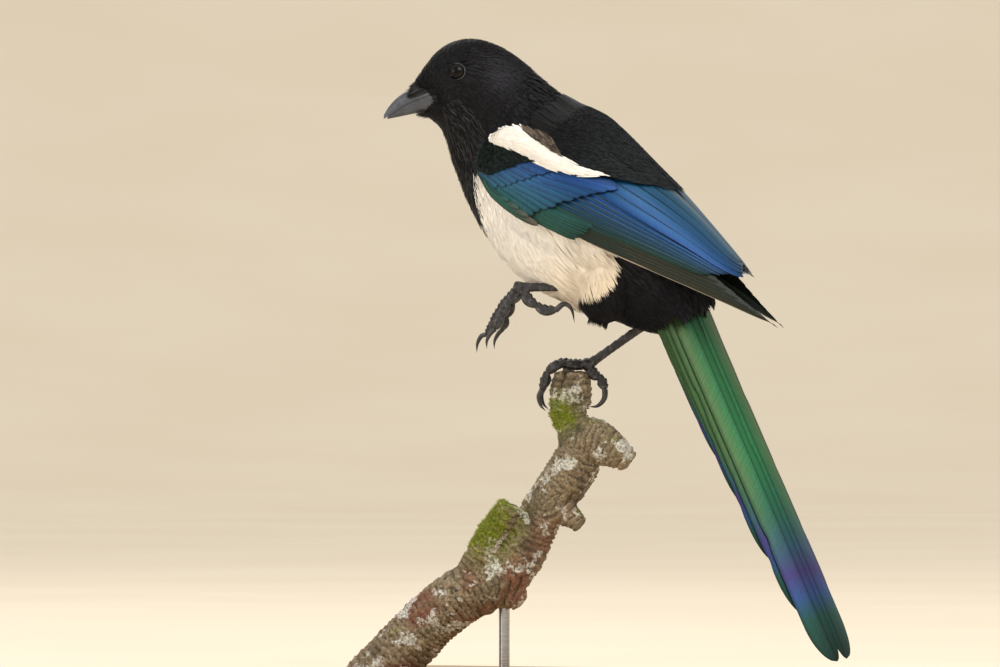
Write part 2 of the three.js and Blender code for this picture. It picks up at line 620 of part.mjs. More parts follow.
// A shank with raised scutes on its front
function tarsus(ankle, foot, grow = 0) {
  const scutes = 9;
  const shape = through([0, 0.12, 0.5, 0.86, 1], [2.7, 2.25, 1.95, 2.2, 2.9]);
  return tube([ankle, ankle.clone().lerp(foot, 0.5), foot], (t, front) => {
    const step = (t * scutes) % 1;
    return shape(t) + (front > 0.3 ? 0.28 * (1 - step) : 0);
  }, 8, 2 * scutes, { flat: () => 0.82, up: vec(-0.55, 0, 0.83), grow });
}

const CLAW = 0.78; // thickness of a claw's root as a share of its toe's
// A toe with pads below and scutes above, and its claw
function toe(points, thick, pads, up, grow = 0) {
  return tube(points, (t, top) => {
    const pad = Math.abs(Math.sin(Math.PI * pads * t));
    const body = mix(thick, thick * 0.74, t);
    return body * (top < -0.2 ? 0.92 + 0.3 * pad : 1 + 0.08 * pad);
  }, 7, 2 * pads + 1, { flat: () => 0.92, up, grow });
}
function claw(points, thick, up, grow = 0) {
  return tube(points, (t) => Math.max(0.28, thick * (1 - t ** 1.4)), 6, 5, { flat: () => 0.7, up, grow });
}

const UP = vec(0, 0, 1);
// Each toe's points run from the foot to its last joint, and each claw's from there to its tip
const LEFT_TOES = [
  { toe: [[-39.6, -22, 226.5], [-44.9, -25, 219], [-49, -27, 211], [-51.6, -28, 204.2]],
    claw: [[-51.6, -28, 204.2], [-54.2, -28.6, 201.6], [-56.2, -28.8, 197.6], [-56.2, -28.8, 193.2]], thick: 2.2, pads: 3 },
  { toe: [[-40, -22, 227], [-48, -22, 219.5], [-54.4, -22, 210], [-58.6, -22, 201.4]],
    claw: [[-58.6, -22, 201.4], [-62.2, -22, 200.2], [-64.6, -22, 196], [-65, -22, 191]], thick: 2.3, pads: 4 },
  { toe: [[-39.2, -20.6, 226.5], [-45.6, -16.5, 219], [-50.6, -13.5, 211], [-53.6, -12, 204]],
    claw: [[-53.6, -12, 204], [-56.4, -11.6, 201.4], [-58.6, -11.4, 197.4], [-58.8, -11.4, 193]], thick: 2.1, pads: 3 },
  { toe: [[-37, -22, 226], [-32.4, -22.4, 219.6], [-25.4, -22.6, 215.6], [-17.4, -22.6, 214.6]],
    claw: [[-17.4, -22.6, 214.6], [-11.6, -22.6, 217.8], [-5.8, -22.6, 215.2], [-3.0, -22.6, 207.2]], thick: 2.6, pads: 2 },
];
const RIGHT_TOES = [
  { toe: [[-12.4, 8, 184.4], [-19, 3.0, 184.8], [-26.4, -1.4, 184.2], [-31.4, -3.6, 177.6], [-33, -4.4, 170.6]],
    claw: [[-33, -4.4, 170.6], [-34.8, -4.6, 166.4], [-33.6, -4.6, 161.6], [-30.4, -4.4, 158.4]], thick: 2.3, pads: 3 },
  { toe: [[-12.4, 8.4, 184.4], [-20, 8, 185.4], [-28.4, 8, 185.2], [-34.6, 8, 179.6], [-36.4, 8, 172.0]],
    claw: [[-36.4, 8, 172.0], [-38.4, 8, 167.6], [-37.2, 8, 162.6], [-33.8, 8, 159.2]], thick: 2.4, pads: 4 },
  { toe: [[-12.4, 9, 184.4], [-18.8, 13.8, 184.6], [-25.6, 18.0, 183.4], [-30.6, 20.4, 177.0], [-31.6, 21, 170.4]],
    claw: [[-31.6, 21, 170.4], [-33.2, 21.2, 166.2], [-32, 21, 161.4], [-28.8, 20.6, 158.2]], thick: 2.2, pads: 3 },
  { toe: [[-9.6, 8, 183.4], [-5.2, 6.4, 178.8], [-0.8, 5.4, 175.6], [1.0, 5, 170.8]],
    claw: [[1.0, 5, 170.8], [0.6, 4.8, 165.4], [-3.4, 4.6, 161.4], [-8.6, 4.4, 161.0]], thick: 2.6, pads: 2 },
];

const toVectors = (points) => points.map(([x, y, z]) => vec(x, y, z));

// One foot: tarsus, four toes and four claws, each clear of what it grows from
function leg(side, ankle, foot, toes, clear) {
  const shank = tarsus(ankle, foot);
  const shankGrown = tarsus(ankle, foot, GAP);
  node(`tarsus_${side}`, clear.reduce((made, other) => made.subtract(other), shank), COLOUR.leg, 0.55);
  const done = [];
  toes.forEach((one, i) => {
    const points = toVectors(one.toe);
    const tips = toVectors(one.claw);
    let made = toe(points, one.thick, one.pads, UP).subtract(shankGrown);
    for (const other of [...clear, ...done]) made = made.subtract(other);
    const nail = claw(tips, one.thick * CLAW, vec(0, 1, 0)).subtract(toe(points, one.thick, one.pads, UP, GAP));
    done.push(toe(points, one.thick, one.pads, UP, GAP), claw(tips, one.thick * CLAW, vec(0, 1, 0), GAP));
    node(`toe_${side}_${i + 1}`, made, COLOUR.leg, 0.6);
    node(`claw_${side}_${i + 1}`, clear.reduce((rest, other) => rest.subtract(other), nail), COLOUR.claw, 0.35);
  });
}

// Perch: a gnarled branch with a broken side shoot and knots, sawn level where it stands on the base
const PERCH_PATH = [[-19, 5, 180.6], [-19.4, 5, 169], [-21, 5, 157.5], [-17, 5, 146], [-14.4, 5, 136.4], [-18.8, 5, 125],
  [-27.4, 4.5, 113], [-36, 4, 101.4], [-42, 3, 91], [-49, 1.5, 78], [-60.8, -0.5, 65], [-79.6, -3.5, 56], [-96.4, -6, 44],
  [-108, -9, 32.4], [-120, -12, 19.6], [-134, -15, 4]];
const PERCH_RADII = [9.6, 11.8, 9.6, 10.0, 13.4, 13.6, 12.6, 12.4, 12.6, 13.6, 14.6, 15.6, 15.6, 15.8, 16.0, 16.2];
// The side shoot and the knots: their paths and their radii from root to end
const PERCH_LUMPS = [
  { path: [[-78, -4, 62], [-70, -7, 76], [-60, -9, 91], [-49, -10, 106]], radii: [10, 8.9, 8.2, 7.0], sides: 10 },
  { path: [[-18, 5, 144], [-4, 4, 141.5], [8, 3, 136.5], [16, 3, 131]], radii: [11, 12.4, 9.4, 5.6], sides: 9 },
  { path: [[-30, 4, 110], [-20, 2, 101], [-12, 1, 95]], radii: [9, 7.4, 4.6], sides: 8 },
  { path: [[-66, 1, 64], [-56, 0, 58], [-47, -1, 54]], radii: [10, 8.6, 6.0], sides: 8 },
];
function perch(grow = 0) {
  const radii = through(PERCH_RADII.map((_, i) => i / (PERCH_RADII.length - 1)), PERCH_RADII);
  const main = tube(toVectors(PERCH_PATH), (t) => radii(t) * (1 + 0.04 * Math.sin(37 * t)), 12, 21,
    { up: vec(0, 1, 0), grow });
  const lumps = PERCH_LUMPS.map(({ path, radii: sizes, sides }) => {
    const size = through(sizes.map((_, i) => i / (sizes.length - 1)), sizes);
    return tube(toVectors(path), size, sides, 4, { up: vec(0, 1, 0), grow });
  });
  return join([main, ...lumps]).trimByPlane([0, 0, 1], BASE.thick + GAP - grow);
}

// Stand
function standBase() {
  const x = BASE.length / 2 - BASE.bevel;
  const y = BASE.width / 2 - BASE.bevel;
  const r = BASE.corner;
  const outline = new THREE.Shape();
  outline.moveTo(-x + r, -y);
  outline.lineTo(x - r, -y);
  outline.absarc(x - r, -y + r, r, -Math.PI / 2, 0);
  outline.lineTo(x, y - r);
  outline.absarc(x - r, y - r, r, 0, Math.PI / 2);
  outline.lineTo(-x + r, y);
  outline.absarc(-x + r, y - r, r, Math.PI / 2, Math.PI);
  outline.lineTo(-x, -y + r);
  outline.absarc(-x + r, -y + r, r, Math.PI, 1.5 * Math.PI);
  const geometry = new THREE.ExtrudeGeometry(outline, {
    depth: BASE.thick - 2 * BASE.bevel, bevelThickness: BASE.bevel, bevelSize: BASE.bevel, bevelSegments: 1, curveSegments: 3,
  });
  geometry.deleteAttribute("normal");
  geometry.deleteAttribute("uv");
  geometry.translate(0, 0, BASE.bevel);
  const merged = mergeVertices(geometry, 1e-3);
  return new wasm.Manifold(new wasm.Mesh({
    numProp: 3,
    vertProperties: merged.attributes.position.array,
    triVerts: new Uint32Array(merged.index.array),
  }));
}
function standRod() {
  const low = BASE.thick + GAP;
  const rod = tube([vec(ROD.x, ROD.y, low), vec(ROD.x, ROD.y, 30), vec(ROD.x, ROD.y, 60)], () => ROD.radius, 20, 1, { up: vec(0, 1, 0) });
  return rod.subtract(perch(GAP));
}

// Assembly
const body = bodySolid();
const billUpper = billLoft(UPPER_BILL, true);
const billLower = billLoft(LOWER_BILL, false);
const headSolid = before(body, stationPlane(CUT_HEAD));
const headWithLids = join([headSolid, lidRing(1), lidRing(-1), ...bristles(1), ...bristles(-1)])
  .subtract(join([billSocket(), eyeBall(1, GAP), eyeBall(-1, GAP)]));
node("head", headWithLids, COLOUR.black);
node("bill_upper", billUpper, COLOUR.bill, 0.35);
node("bill_lower", billLower, COLOUR.bill, 0.35);
node("eye_left", eyeBall(1), COLOUR.eye, 0.08);
node("eye_right", eyeBall(-1), COLOUR.eye, 0.08);
node("neck", before(behind(body, stationPlane(CUT_HEAD)), stationPlane(CUT_NECK)), COLOUR.black);

const leftWing = wing();
const mantle = join(mantleFeathers());
const thighsGrown = join([leftThigh(GAP), rightThigh(GAP)]);
const torso = join([behind(body, stationPlane(CUT_NECK)), mantle, mirrored(mantle)])
  .subtract(join([thighsGrown, tailCore(GAP)]));
node("torso", torso, COLOUR.cream);
node("wing_left", leftWing, COLOUR.blue, 0.4);
node("wing_right", mirrored(leftWing), COLOUR.blue, 0.4);
const whitePatch = scapulars();
node("scapulars_left", whitePatch, COLOUR.white);
node("scapulars_right", mirrored(whitePatch), COLOUR.white);
node("tail", tail(), COLOUR.green, 0.4);
node("thigh_left", withLocks(leftThigh(), locks(LEFT_LOCKS, 4.4)).subtract(tarsus(LEFT_ANKLE, LEFT_FOOT, GAP)), COLOUR.cream);
node("thigh_right", rightThigh().subtract(tarsus(RIGHT_ANKLE, RIGHT_FOOT, GAP)), COLOUR.black);

const perchGrown = perch(GAP);
leg("left", LEFT_ANKLE, LEFT_FOOT, LEFT_TOES, [torsoGrown]);
leg("right", RIGHT_ANKLE, RIGHT_FOOT, RIGHT_TOES, [perchGrown, torsoGrown]);
node("perch", perch(), COLOUR.bark, 0.85);
node("stand_base", standBase(), COLOUR.oak, 0.5);
node("stand_rod", standRod(), COLOUR.steel, 0.3, 1);

export default parts;
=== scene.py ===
# Eurasian magpie on a cut branch, life size, dressed with feathers over one skin.
# Lengths in the tables are millimetres in the row's frame: +Z up, the bird faces -X, its left side is -Y.
import bpy
import numpy as np
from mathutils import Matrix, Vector


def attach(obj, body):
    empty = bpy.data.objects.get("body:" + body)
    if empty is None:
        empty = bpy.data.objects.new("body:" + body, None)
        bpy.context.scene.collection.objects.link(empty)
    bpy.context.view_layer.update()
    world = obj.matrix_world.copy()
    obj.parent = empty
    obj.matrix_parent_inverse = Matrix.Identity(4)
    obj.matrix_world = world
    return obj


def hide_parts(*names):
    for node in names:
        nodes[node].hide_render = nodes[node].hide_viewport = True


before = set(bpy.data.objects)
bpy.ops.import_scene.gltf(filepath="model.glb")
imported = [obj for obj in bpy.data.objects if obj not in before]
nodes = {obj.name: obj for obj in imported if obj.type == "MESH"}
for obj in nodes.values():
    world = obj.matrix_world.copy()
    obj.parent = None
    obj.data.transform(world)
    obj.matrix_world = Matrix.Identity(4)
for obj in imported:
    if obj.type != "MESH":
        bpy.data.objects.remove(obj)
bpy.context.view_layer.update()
mm = 0.001


# sRGB hex to linear RGBA
def linear(hexColour):
    part = np.array([int(hexColour[i:i + 2], 16) for i in (1, 3, 5)]) / 255
    part = np.where(part <= 0.04045, part / 12.92, ((part + 0.055) / 1.055) ** 2.4)
    return (*part.tolist(), 1.0)


def smoothstep(x, low, high):
    t = np.clip((x - low) / (high - low), 0, 1)
    return t * t * (3 - 2 * t)


def mix(a, b, t):
    return a + (b - a) * t


fullTurn = 6.28  # radians, the range of a random phase


# Angles of n points evenly round a circle
def around(n):
    return np.arange(n) * 2 * np.pi / n


def unit(v):
    return v / np.maximum(np.linalg.norm(v, axis=-1, keepdims=True), 1e-9)


def spread(*values):
    return np.stack(np.broadcast_arrays(*values), -1)


# Smooth curve through a table: cubic Hermite pieces, each slope the chord of its two neighbours
def through(xs, ys):
    xs, ys = np.array(xs, float), np.array(ys, float)
    before, after = np.maximum(np.arange(len(xs)) - 1, 0), np.minimum(np.arange(len(xs)) + 1, len(xs) - 1)
    slope = (ys[after] - ys[before]) / (xs[after] - xs[before])

    def at(x):
        i = np.clip(np.searchsorted(xs, x, side="right") - 1, 0, len(xs) - 2)
        h = xs[i + 1] - xs[i]
        t = np.clip((x - xs[i]) / h, 0, 1)
        return ((2 * t ** 3 - 3 * t ** 2 + 1) * ys[i] + (t ** 3 - 2 * t ** 2 + t) * h * slope[i]
                + (3 * t ** 2 - 2 * t ** 3) * ys[i + 1] + (t ** 3 - t ** 2) * h * slope[i + 1])
    return at


# Values given point by point, as attributes that the materials read
def putMarks(mesh, marks):
    for key, value in marks.items():
        layer = mesh.attributes.new(key, "FLOAT", "POINT")
        value = np.broadcast_to(np.asarray(value, np.float32).ravel(), len(mesh.vertices))
        layer.data.foreach_set("value", value.copy())


# A mesh from whole arrays: points in millimetres, faces as index arrays of one width each,
# uvs and marks given point by point
def putMesh(name, points, faces, uvs=None, marks=None, sharp=None):
    mesh = bpy.data.meshes.new(name)
    points = np.asarray(points, np.float32).reshape(-1, 3) * mm
    faces = [np.asarray(f, np.int32) for f in faces if len(f)]
    corner = np.concatenate([f.ravel() for f in faces])
    sizes = np.concatenate([np.full(len(f), f.shape[1]) for f in faces])
    mesh.vertices.add(len(points))
    mesh.vertices.foreach_set("co", points.ravel())
    mesh.loops.add(len(corner))
    mesh.loops.foreach_set("vertex_index", corner)
    mesh.polygons.add(len(sizes))
    mesh.polygons.foreach_set("loop_start", np.concatenate([[0], np.cumsum(sizes)[:-1]]).astype(np.int32))
    for key, value in (uvs or {}).items():
        layer = mesh.uv_layers.new(name=key)
        layer.data.foreach_set("uv", np.asarray(value, np.float32).reshape(-1, 2)[corner].ravel())
    putMarks(mesh, marks or {})
    mesh.update(calc_edges=True)
    mesh.polygons.foreach_set("use_smooth", np.ones(len(sizes), bool))
    if sharp:
        mesh.set_sharp_from_angle(angle=np.radians(sharp))
    made = bpy.data.objects.new(name, mesh)
    bpy.context.scene.collection.objects.link(made)
    return made


# Gives a finished piece its material, hangs it on the root body and hides the parts it stands for
def keep(piece, material, replaces=()):
    piece.data.materials.clear()
    piece.data.materials.append(material)
    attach(piece, "root")
    if replaces:
        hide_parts(*replaces)
    return piece


# Faces of a tube of rings, rows by n points, with one many-sided face on each end
def ringFaces(rows, n, flip=False):
    i, k = np.meshgrid(np.arange(rows - 1), np.arange(n), indexing="ij")
    a, b = i * n + k, i * n + (k + 1) % n
    quads = np.stack([a, b, b + n, a + n], -1).reshape(-1, 4)
    ends = np.stack([np.arange(n)[::-1], (rows - 1) * n + np.arange(n)])
    return [quads[:, ::-1], ends[:, ::-1]] if flip else [quads, ends]


# The same faces repeated for many pieces of equal size
def repeated(faces, count, size):
    step = (np.arange(count) * size)[:, None, None]
    return [(f[None] + step).reshape(-1, f.shape[1]) for f in faces]


# The mesh of an object with its modifiers applied, as a new object
def baked(source, name):
    graph = bpy.context.evaluated_depsgraph_get()
    mesh = bpy.data.meshes.new_from_object(source.evaluated_get(graph))
    made = bpy.data.objects.new(name, mesh)
    bpy.context.scene.collection.objects.link(made)
    bpy.data.objects.remove(source)
    return made


# Closed shapes fused into one skin: voxel remesh, then a light smooth
def fused(name, shapes, voxel, smooth=4):
    points, faces, start = [], [], 0
    for shapePoints, shapeFaces in shapes:
        flat = np.asarray(shapePoints).reshape(-1, 3)
        points.append(flat)
        faces += [f + start for f in shapeFaces]
        start += len(flat)
    rough = putMesh(name + "_raw", np.concatenate(points), faces)
    remesh = rough.modifiers.new("remesh", "REMESH")
    remesh.mode, remesh.voxel_size, remesh.use_smooth_shade = "VOXEL", voxel * mm, True
    soft = rough.modifiers.new("soft", "SMOOTH")
    soft.factor, soft.iterations = 0.5, smooth
    return baked(rough, name)


def pointsOf(piece):
    flat = np.empty(len(piece.data.vertices) * 3, np.float32)
    piece.data.vertices.foreach_get("co", flat)
    return flat.reshape(-1, 3) / mm


def movePoints(piece, points):
    piece.data.vertices.foreach_set("co", (points * mm).astype(np.float32).ravel())


# Cheap value noise that is smooth in space: a sum of turned sines, seeded
def ripple(points, size, seed, octaves=3):
    draw = np.random.default_rng(seed)
    total, weight = 0.0, 0.0
    for octave in range(octaves):
        for _ in range(4):
            direction = unit(draw.normal(size=3))
            total = total + np.sin(points @ direction * (2 * np.pi * 2 ** octave / size) + draw.uniform(0,
                    fullTurn)) / 2 ** octave
            weight += 1 / 2 ** octave
    return total / weight * 1.8


# Adds a node with its settings and gives one of its outputs, or all where out is None. A socket given as a
# value is set and one given as a socket is linked; stops are a colour ramp's places, each with its colour or
# grey
def addNode(tree, kind, sockets=None, out=0, stops=(), **settings):
    made = tree.nodes.new("ShaderNode" + kind)
    for key, value in settings.items():
        setattr(made, key, value)
    for key, value in (sockets or {}).items():
        if isinstance(value, bpy.types.NodeSocket):
            tree.links.new(value, made.inputs[key])
        else:
            made.inputs[key].default_value = value
    while stops and len(made.color_ramp.elements) < len(stops):
        made.color_ramp.elements.new(0.5)
    for element, (place, colour) in zip(made.color_ramp.elements if stops else (), stops):
        element.position = place
        element.color = linear(colour) if isinstance(colour, str) else (colour, colour, colour, 1)
    return made.outputs if out is None else made.outputs[out]


def startMaterial(name, **values):
    material = bpy.data.materials.new(name)
    material.use_nodes = True
    tree = material.node_tree
    shader = tree.nodes["Principled BSDF"]
    for key, value in values.items():
        shader.inputs[key.replace("_", " ").title().replace("Ior", "IOR")].default_value = value
    return material, tree, shader


plumageLook = {
    # darkest and palest barbs of each kind
    "black": ("#020203", "#222229"),
    "mantle": ("#020304", "#21282d"),
    # painted highlight: the throat's palest barbs stand for the gloss along the hackles' shafts
    "throat": ("#050506", "#4b4b4e"),
    "shoulder": ("#040706", "#20312e"),
    "brown": ("#3a332c", "#7a6f63"),
    "white": ("#ebe6de", "#faf8f3"),
    "buff": "#e2c99c",                # lower flank
    "streakAcross": 15.0,             # about 15 barb bundles across a small feather
    "streakAlong": 1.3,
}


# Contour feathers, keratin: soft and matt, streaked by bundled barbs; the shine is low because the barbs'
# roughness traps it, and a thin velvet sheen is left at the rim
def contourMaterial(name, kind, roughness, sheen):
    look = plumageLook
    material, tree, shader = startMaterial(name, roughness=roughness, ior=1.54, sheen_weight=sheen,
                                           sheen_roughness=0.35, sheen_tint=linear("#8fa6d8"))
    shader.inputs["Specular IOR Level"].default_value = 0.13
    vane = addNode(tree, "UVMap", uv_map="vane")
    streak = addNode(tree, "TexNoise",
                     {"Vector": addNode(tree, "Mapping",
                                        {"Vector": vane, "Scale": (look["streakAcross"], look["streakAlong"],
                                                1)}), "Scale": 1.0, "Detail": 2.0, "Roughness": 0.6}, out="Fac")
    tone = addNode(tree, "Attribute", out="Fac", attribute_name="tone")
    dark = addNode(tree, "ValToRGB", {0: addNode(tree, "Math", {0: tone, 1: streak}, operation="MULTIPLY")},
                   stops=[(0.08, look[kind][0]), (0.7, look[kind][1])])
    pale = addNode(tree, "ValToRGB",
                   {0: addNode(tree, "Math", {0: addNode(tree, "Math", {0: streak, 1: 0.7},
                                                         operation="MULTIPLY"), 1: addNode(tree, "Math",
                                                                 {0: tone, 1: 0.3}, operation="MULTIPLY")},
                                                                         operation="ADD")}, stops=[(0.15,
                                                                                 look["white"][0]), (0.7, look["white"][1])])
    warm = addNode(tree, "Mix", {0: addNode(tree, "Attribute", out="Fac", attribute_name="warm"), 6: pale,
                                 7: linear(look["buff"])}, out=2, data_type="RGBA")
    colour = addNode(tree, "Mix", {0: addNode(tree, "Attribute", out="Fac", attribute_name="mark"), 6: dark,
                                   7: warm}, out=2, data_type="RGBA")
    tree.links.new(colour, shader.inputs["Base Color"])
    bump = addNode(tree, "Bump", {"Height": streak, "Strength": 0.3, "Distance": 0.0002})
    tree.links.new(bump, shader.inputs["Normal"])
    return material


# Vanes of the wing and tail, keratin with structural colour: a satin sheen over dark melanin, so the colour
# sits in the gloss as well as in the base. colourOf builds the colour from the vane's own coordinates
def vaneMaterial(name, colourOf, roughness=0.38, metallic=0.35, depth=0.00012, fineness=16.0):
    material, tree, shader = startMaterial(name, roughness=roughness, metallic=metallic)
    shader.inputs["Specular IOR Level"].default_value = 0.28  # barbs trap part of the gloss
    vane = addNode(tree, "SeparateXYZ", {0: addNode(tree, "UVMap", uv_map="vane")}, out=None)
    # barb bundles 0.6 mm wide, drawn out along the barbs
    grain = addNode(tree, "TexNoise",
                    {"Vector": addNode(tree, "Mapping", {"Vector": addNode(tree, "UVMap", uv_map="barb"),
                                                         "Scale": (0.6, fineness, 1)}), "Scale": 1.0,
                                                         "Detail": 2.0, "Roughness": 0.65}, out="Fac")
    colour = colourOf(tree, vane, grain)
    shade = addNode(tree, "ValToRGB", {0: grain}, stops=[(0.25, 0.66), (0.7, 1.0)])
    tree.links.new(addNode(tree, "Mix", {0: 1.0, 6: colour, 7: shade}, out=2, data_type="RGBA",
                           blend_type="MULTIPLY"), shader.inputs["Base Color"])
    bump = addNode(tree, "Bump", {"Height": grain, "Strength": 0.6, "Distance": depth})
    tree.links.new(bump, shader.inputs["Normal"])
    return material


# Colour rules of the vanes. vane.x is 0 at the lower or outer edge, 0.5 at the shaft, 1 at the covered edge,
# vane.y is 0 at the root and 1 at the tip; order is 0 for the first feather of its row and 1 for the last
def webs(first, last, alongShade, farColour=None, farFrom=(0.4, 0.7), firstOnly=1.0, waver=0.1):
    def colourOf(tree, vane, grain):
        wobble = addNode(tree, "Math", {0: addNode(tree, "Math", {0: grain, 1: waver}, operation="MULTIPLY"),
                                        1: waver / 2}, operation="SUBTRACT")
        place = addNode(tree, "Math", {0: vane["X"], 1: wobble}, operation="ADD")
        order = addNode(tree, "ValToRGB", {0: addNode(tree, "Attribute", out="Fac", attribute_name="order")},
                        stops=[(0.0, 0.0), (firstOnly, 1.0)])
        colour = addNode(tree, "Mix", {0: order, 6: addNode(tree, "ValToRGB", {0: place}, stops=first),
                                       7: addNode(tree, "ValToRGB", {0: place}, stops=last)}, out=2,
                                       data_type="RGBA")
        if farColour:
            far = addNode(tree, "Mix", {0: order, 6: addNode(tree, "ValToRGB", {0: place}, stops=farColour[0]),
                                        7: addNode(tree, "ValToRGB", {0: place}, stops=farColour[1])}, out=2,
                                        data_type="RGBA")
            colour = addNode(tree, "Mix", {0: addNode(tree, "ValToRGB", {0: vane["Y"]},
                                                      stops=[(farFrom[0], 0.0), (farFrom[1], 1.0)]), 6: colour,
                                                      7: far}, out=2, data_type="RGBA")
        return addNode(tree, "Mix", {0: 1.0, 6: colour, 7: addNode(tree, "ValToRGB", {0: vane["Y"]},
                stops=alongShade)}, out=2, data_type="RGBA", blend_type="MULTIPLY")
    return colourOf


print("body surface")
body = {
    "headTurn": 22.0,      # degrees to the bird's left
    "neckPivotX": -41.9,
    "stations": np.array([  # back x, back z, belly x, belly z, half width, share of the head's turn
        [-105.0, 344.4, -101.6, 325.6, 5.6, 1], [-99.6, 352.0, -97.8, 321.6, 10.2, 1],
        [-93.2, 359.2, -92.2, 316.6, 14.2, 1],
        [-84.2, 364.4, -88.8, 310.2, 16.6, 1], [-72.4, 365.8, -86.6, 303.3, 17.8, 1],
        [-58.8, 361.8, -84.8, 296.6, 18.4, 0.9],
        [-46.2, 353.6, -82.0, 289.2, 19.6, 0.72], [-34.6, 343.6, -79.4, 281.4, 21.9, 0.5],
        [-21.2, 333.4, -76.4, 273.7, 25.6, 0.28],
        [-5.3, 325.0, -71.8, 264.8, 30.0, 0.1], [10.4, 317.0, -66.1, 254.8, 33.6, 0],
        [23.0, 306.5, -58.9, 244.8, 35.8, 0],
        [32.5, 293.0, -49.3, 234.8, 36.0, 0], [39.8, 277.6, -35.0, 225.0, 34.2, 0],
        [47.2, 262.0, -14.6, 216.6, 31.0, 0],
        [53.6, 247.0, 6.6, 209.4, 26.0, 0], [58.6, 233.0, 26.0, 203.6, 20.6, 0],
        [61.6, 219.5, 40.0, 200.6, 16.4, 0],
        [61.2, 207.0, 50.2, 195.6, 13.6, 0]]),
}
wing = {
    "wrist": (-57.6, 295.3), "axis": (0.8787, -0.4773),
    "u": [0, 20, 48, 76, 104, 133, 161, 190],
    "halfWidth": [33, 38.5, 42, 42, 37, 28.5, 18.5, 9.5],
    "toBack": [58, 56, 51, 43.4, 34.8, 25.2, 15.4, 5],
    "tuck": 60.0, "bed": 6.9,
}
wingHalf, wingBack = through(wing["u"], wing["halfWidth"]), through(wing["u"], wing["toBack"])
bodyCurves = [through(np.arange(19), body["stations"][:, i]) for i in range(6)]


# Head and neck turn about a vertical axis through the neck
def turned(p, share):
    angle = np.radians(body["headTurn"]) * share
    x = p[..., 0] - body["neckPivotX"]
    return spread(body["neckPivotX"] + x * np.cos(angle) - p[..., 1] * np.sin(angle),
                  x * np.sin(angle) + p[..., 1] * np.cos(angle), p[..., 2])


# Wing places of points of the side plane: u along the wing, q across it
def wingPlace(p):
    ax, az = wing["axis"]
    dx, dz = p[..., 0] - wing["wrist"][0], p[..., 2] - wing["wrist"][1]
    return dx * ax + dz * az, dz * ax - dx * az


# The trunk is drawn in where the folded wing lies over it
def tuckUnderWing(p):
    ax, az = wing["axis"]
    u, q = wingPlace(p)
    y, half, back = p[..., 1], wingHalf(u), wingBack(u)
    onset = smoothstep(u, -8, 8)
    most = np.maximum(half * (1 - (q / wing["tuck"]) ** 2) - wing["bed"] * onset * smoothstep(q, -30, -19), 0.5)
    radius = (half + back) / 2
    ratio = np.hypot(q / back, y / half)
    s = np.arctan2(q / back, np.abs(y) / half) * radius
    shown = smoothstep(s, 36, 48) * (1 - smoothstep(u, 66, 92))
    k = np.minimum(1, (1 - wing["bed"] * onset * (1 - shown) / radius) / np.maximum(ratio, 1e-6))
    above = spread(wing["wrist"][0] + ax * u - az * q * k, y * k, wing["wrist"][1] + az * u + ax * q * k)
    below = spread(p[..., 0], np.clip(y, -most, most), p[..., 2])
    return np.where((q < 0)[..., None], below, above)


# A point of the plumage: an ellipse between the back and belly points of a station, angle 0 at the back and
# half a turn at the belly, left side first; beyond the last stations it runs straight on
def plumage(station, angle):
    station, angle = np.broadcast_arrays(np.asarray(station, float), np.asarray(angle, float))
    inside = np.clip(station, 0, 18)
    backX, backZ, bellyX, bellyZ, half, turn = [curve(inside) for curve in bodyCurves]
    depth = np.hypot(backX - bellyX, backZ - bellyZ) / 2
    upX, upZ = (backX - bellyX) / 2 / depth, (backZ - bellyZ) / 2 / depth
    p = spread((backX + bellyX) / 2 + upX * depth * np.cos(angle), -half * np.sin(angle),
               (backZ + bellyZ) / 2 + upZ * depth * np.cos(angle))
    # the face narrows to the gape
    gape = np.exp(-((p[..., 2] - 331.5) / 6.5) ** 2) * (1 - smoothstep(inside, 1.2, 2.8))
    p[..., 1] *= 1 - 0.36 * gape
    p = turned(tuckUnderWing(p), turn)
    over = station - inside
    if np.any(over != 0):
        step = np.where(over > 0, 17.8, 0.2)
        edge = np.where(over > 0, 18.0, 0.0)
        p = p + np.where((over != 0)[..., None], over[..., None] * (plumage(edge, angle) - plumage(step, angle))
                         / (edge - step)[..., None], 0)
    return p


# Two directions along a surface at (a, b) and its outward normal, by central differences
def frameOf(surface, a, b, stepA=0.04, stepB=0.03):
    da = (surface(a + stepA, b) - surface(a - stepA, b)) / (2 * stepA)
    db = (surface(a, b + stepB) - surface(a, b - stepB)) / (2 * stepB)
    return da, db, unit(np.cross(db, da))


def raised(surface, a, b, h, **steps):
    return surface(a, b) + frameOf(surface, a, b, **steps)[2] * np.asarray(h)[..., None]


# Wing sheet: straight below the shoulder line with a parabola for its tuck, an elliptical arc above it
def wingSheet(u, s):
    half, back = wingHalf(u), wingBack(u)
    angle = np.maximum(0, s) / ((half + back) / 2)
    across = np.where(s < 0, s, back * np.sin(angle))
    out = np.where(s < 0, half * (1 - (s / wing["tuck"]) ** 2), half * np.cos(angle))
    ax, az = wing["axis"]
    return spread(wing["wrist"][0] + ax * u - az * across, -out, wing["wrist"][1] + az * u + ax * across)


def onWing(u, s, h):
    du = wingSheet(u + 0.5, s) - wingSheet(u - 0.5, s)
    ds = wingSheet(u, s + 0.5) - wingSheet(u, s - 0.5)
    return wingSheet(u, s) + unit(np.cross(du, ds)) * np.asarray(h)[..., None]


tailShape = {"root": (45.9, 0, 233.7), "direction": (0.42, 0, -0.9076), "roll": 30.0, "arch": 40.0}
tailDir = unit(np.array(tailShape["direction"]))
flatUp = unit(np.array([0.9076, 0, 0.42]))
tailUp = flatUp * np.cos(np.radians(tailShape["roll"])) + np.cross(tailDir,
        flatUp) * np.sin(np.radians(tailShape["roll"]))
tailLeft = unit(np.cross(tailUp, tailDir))
tailLeft = tailLeft if tailLeft[1] < 0 else -tailLeft


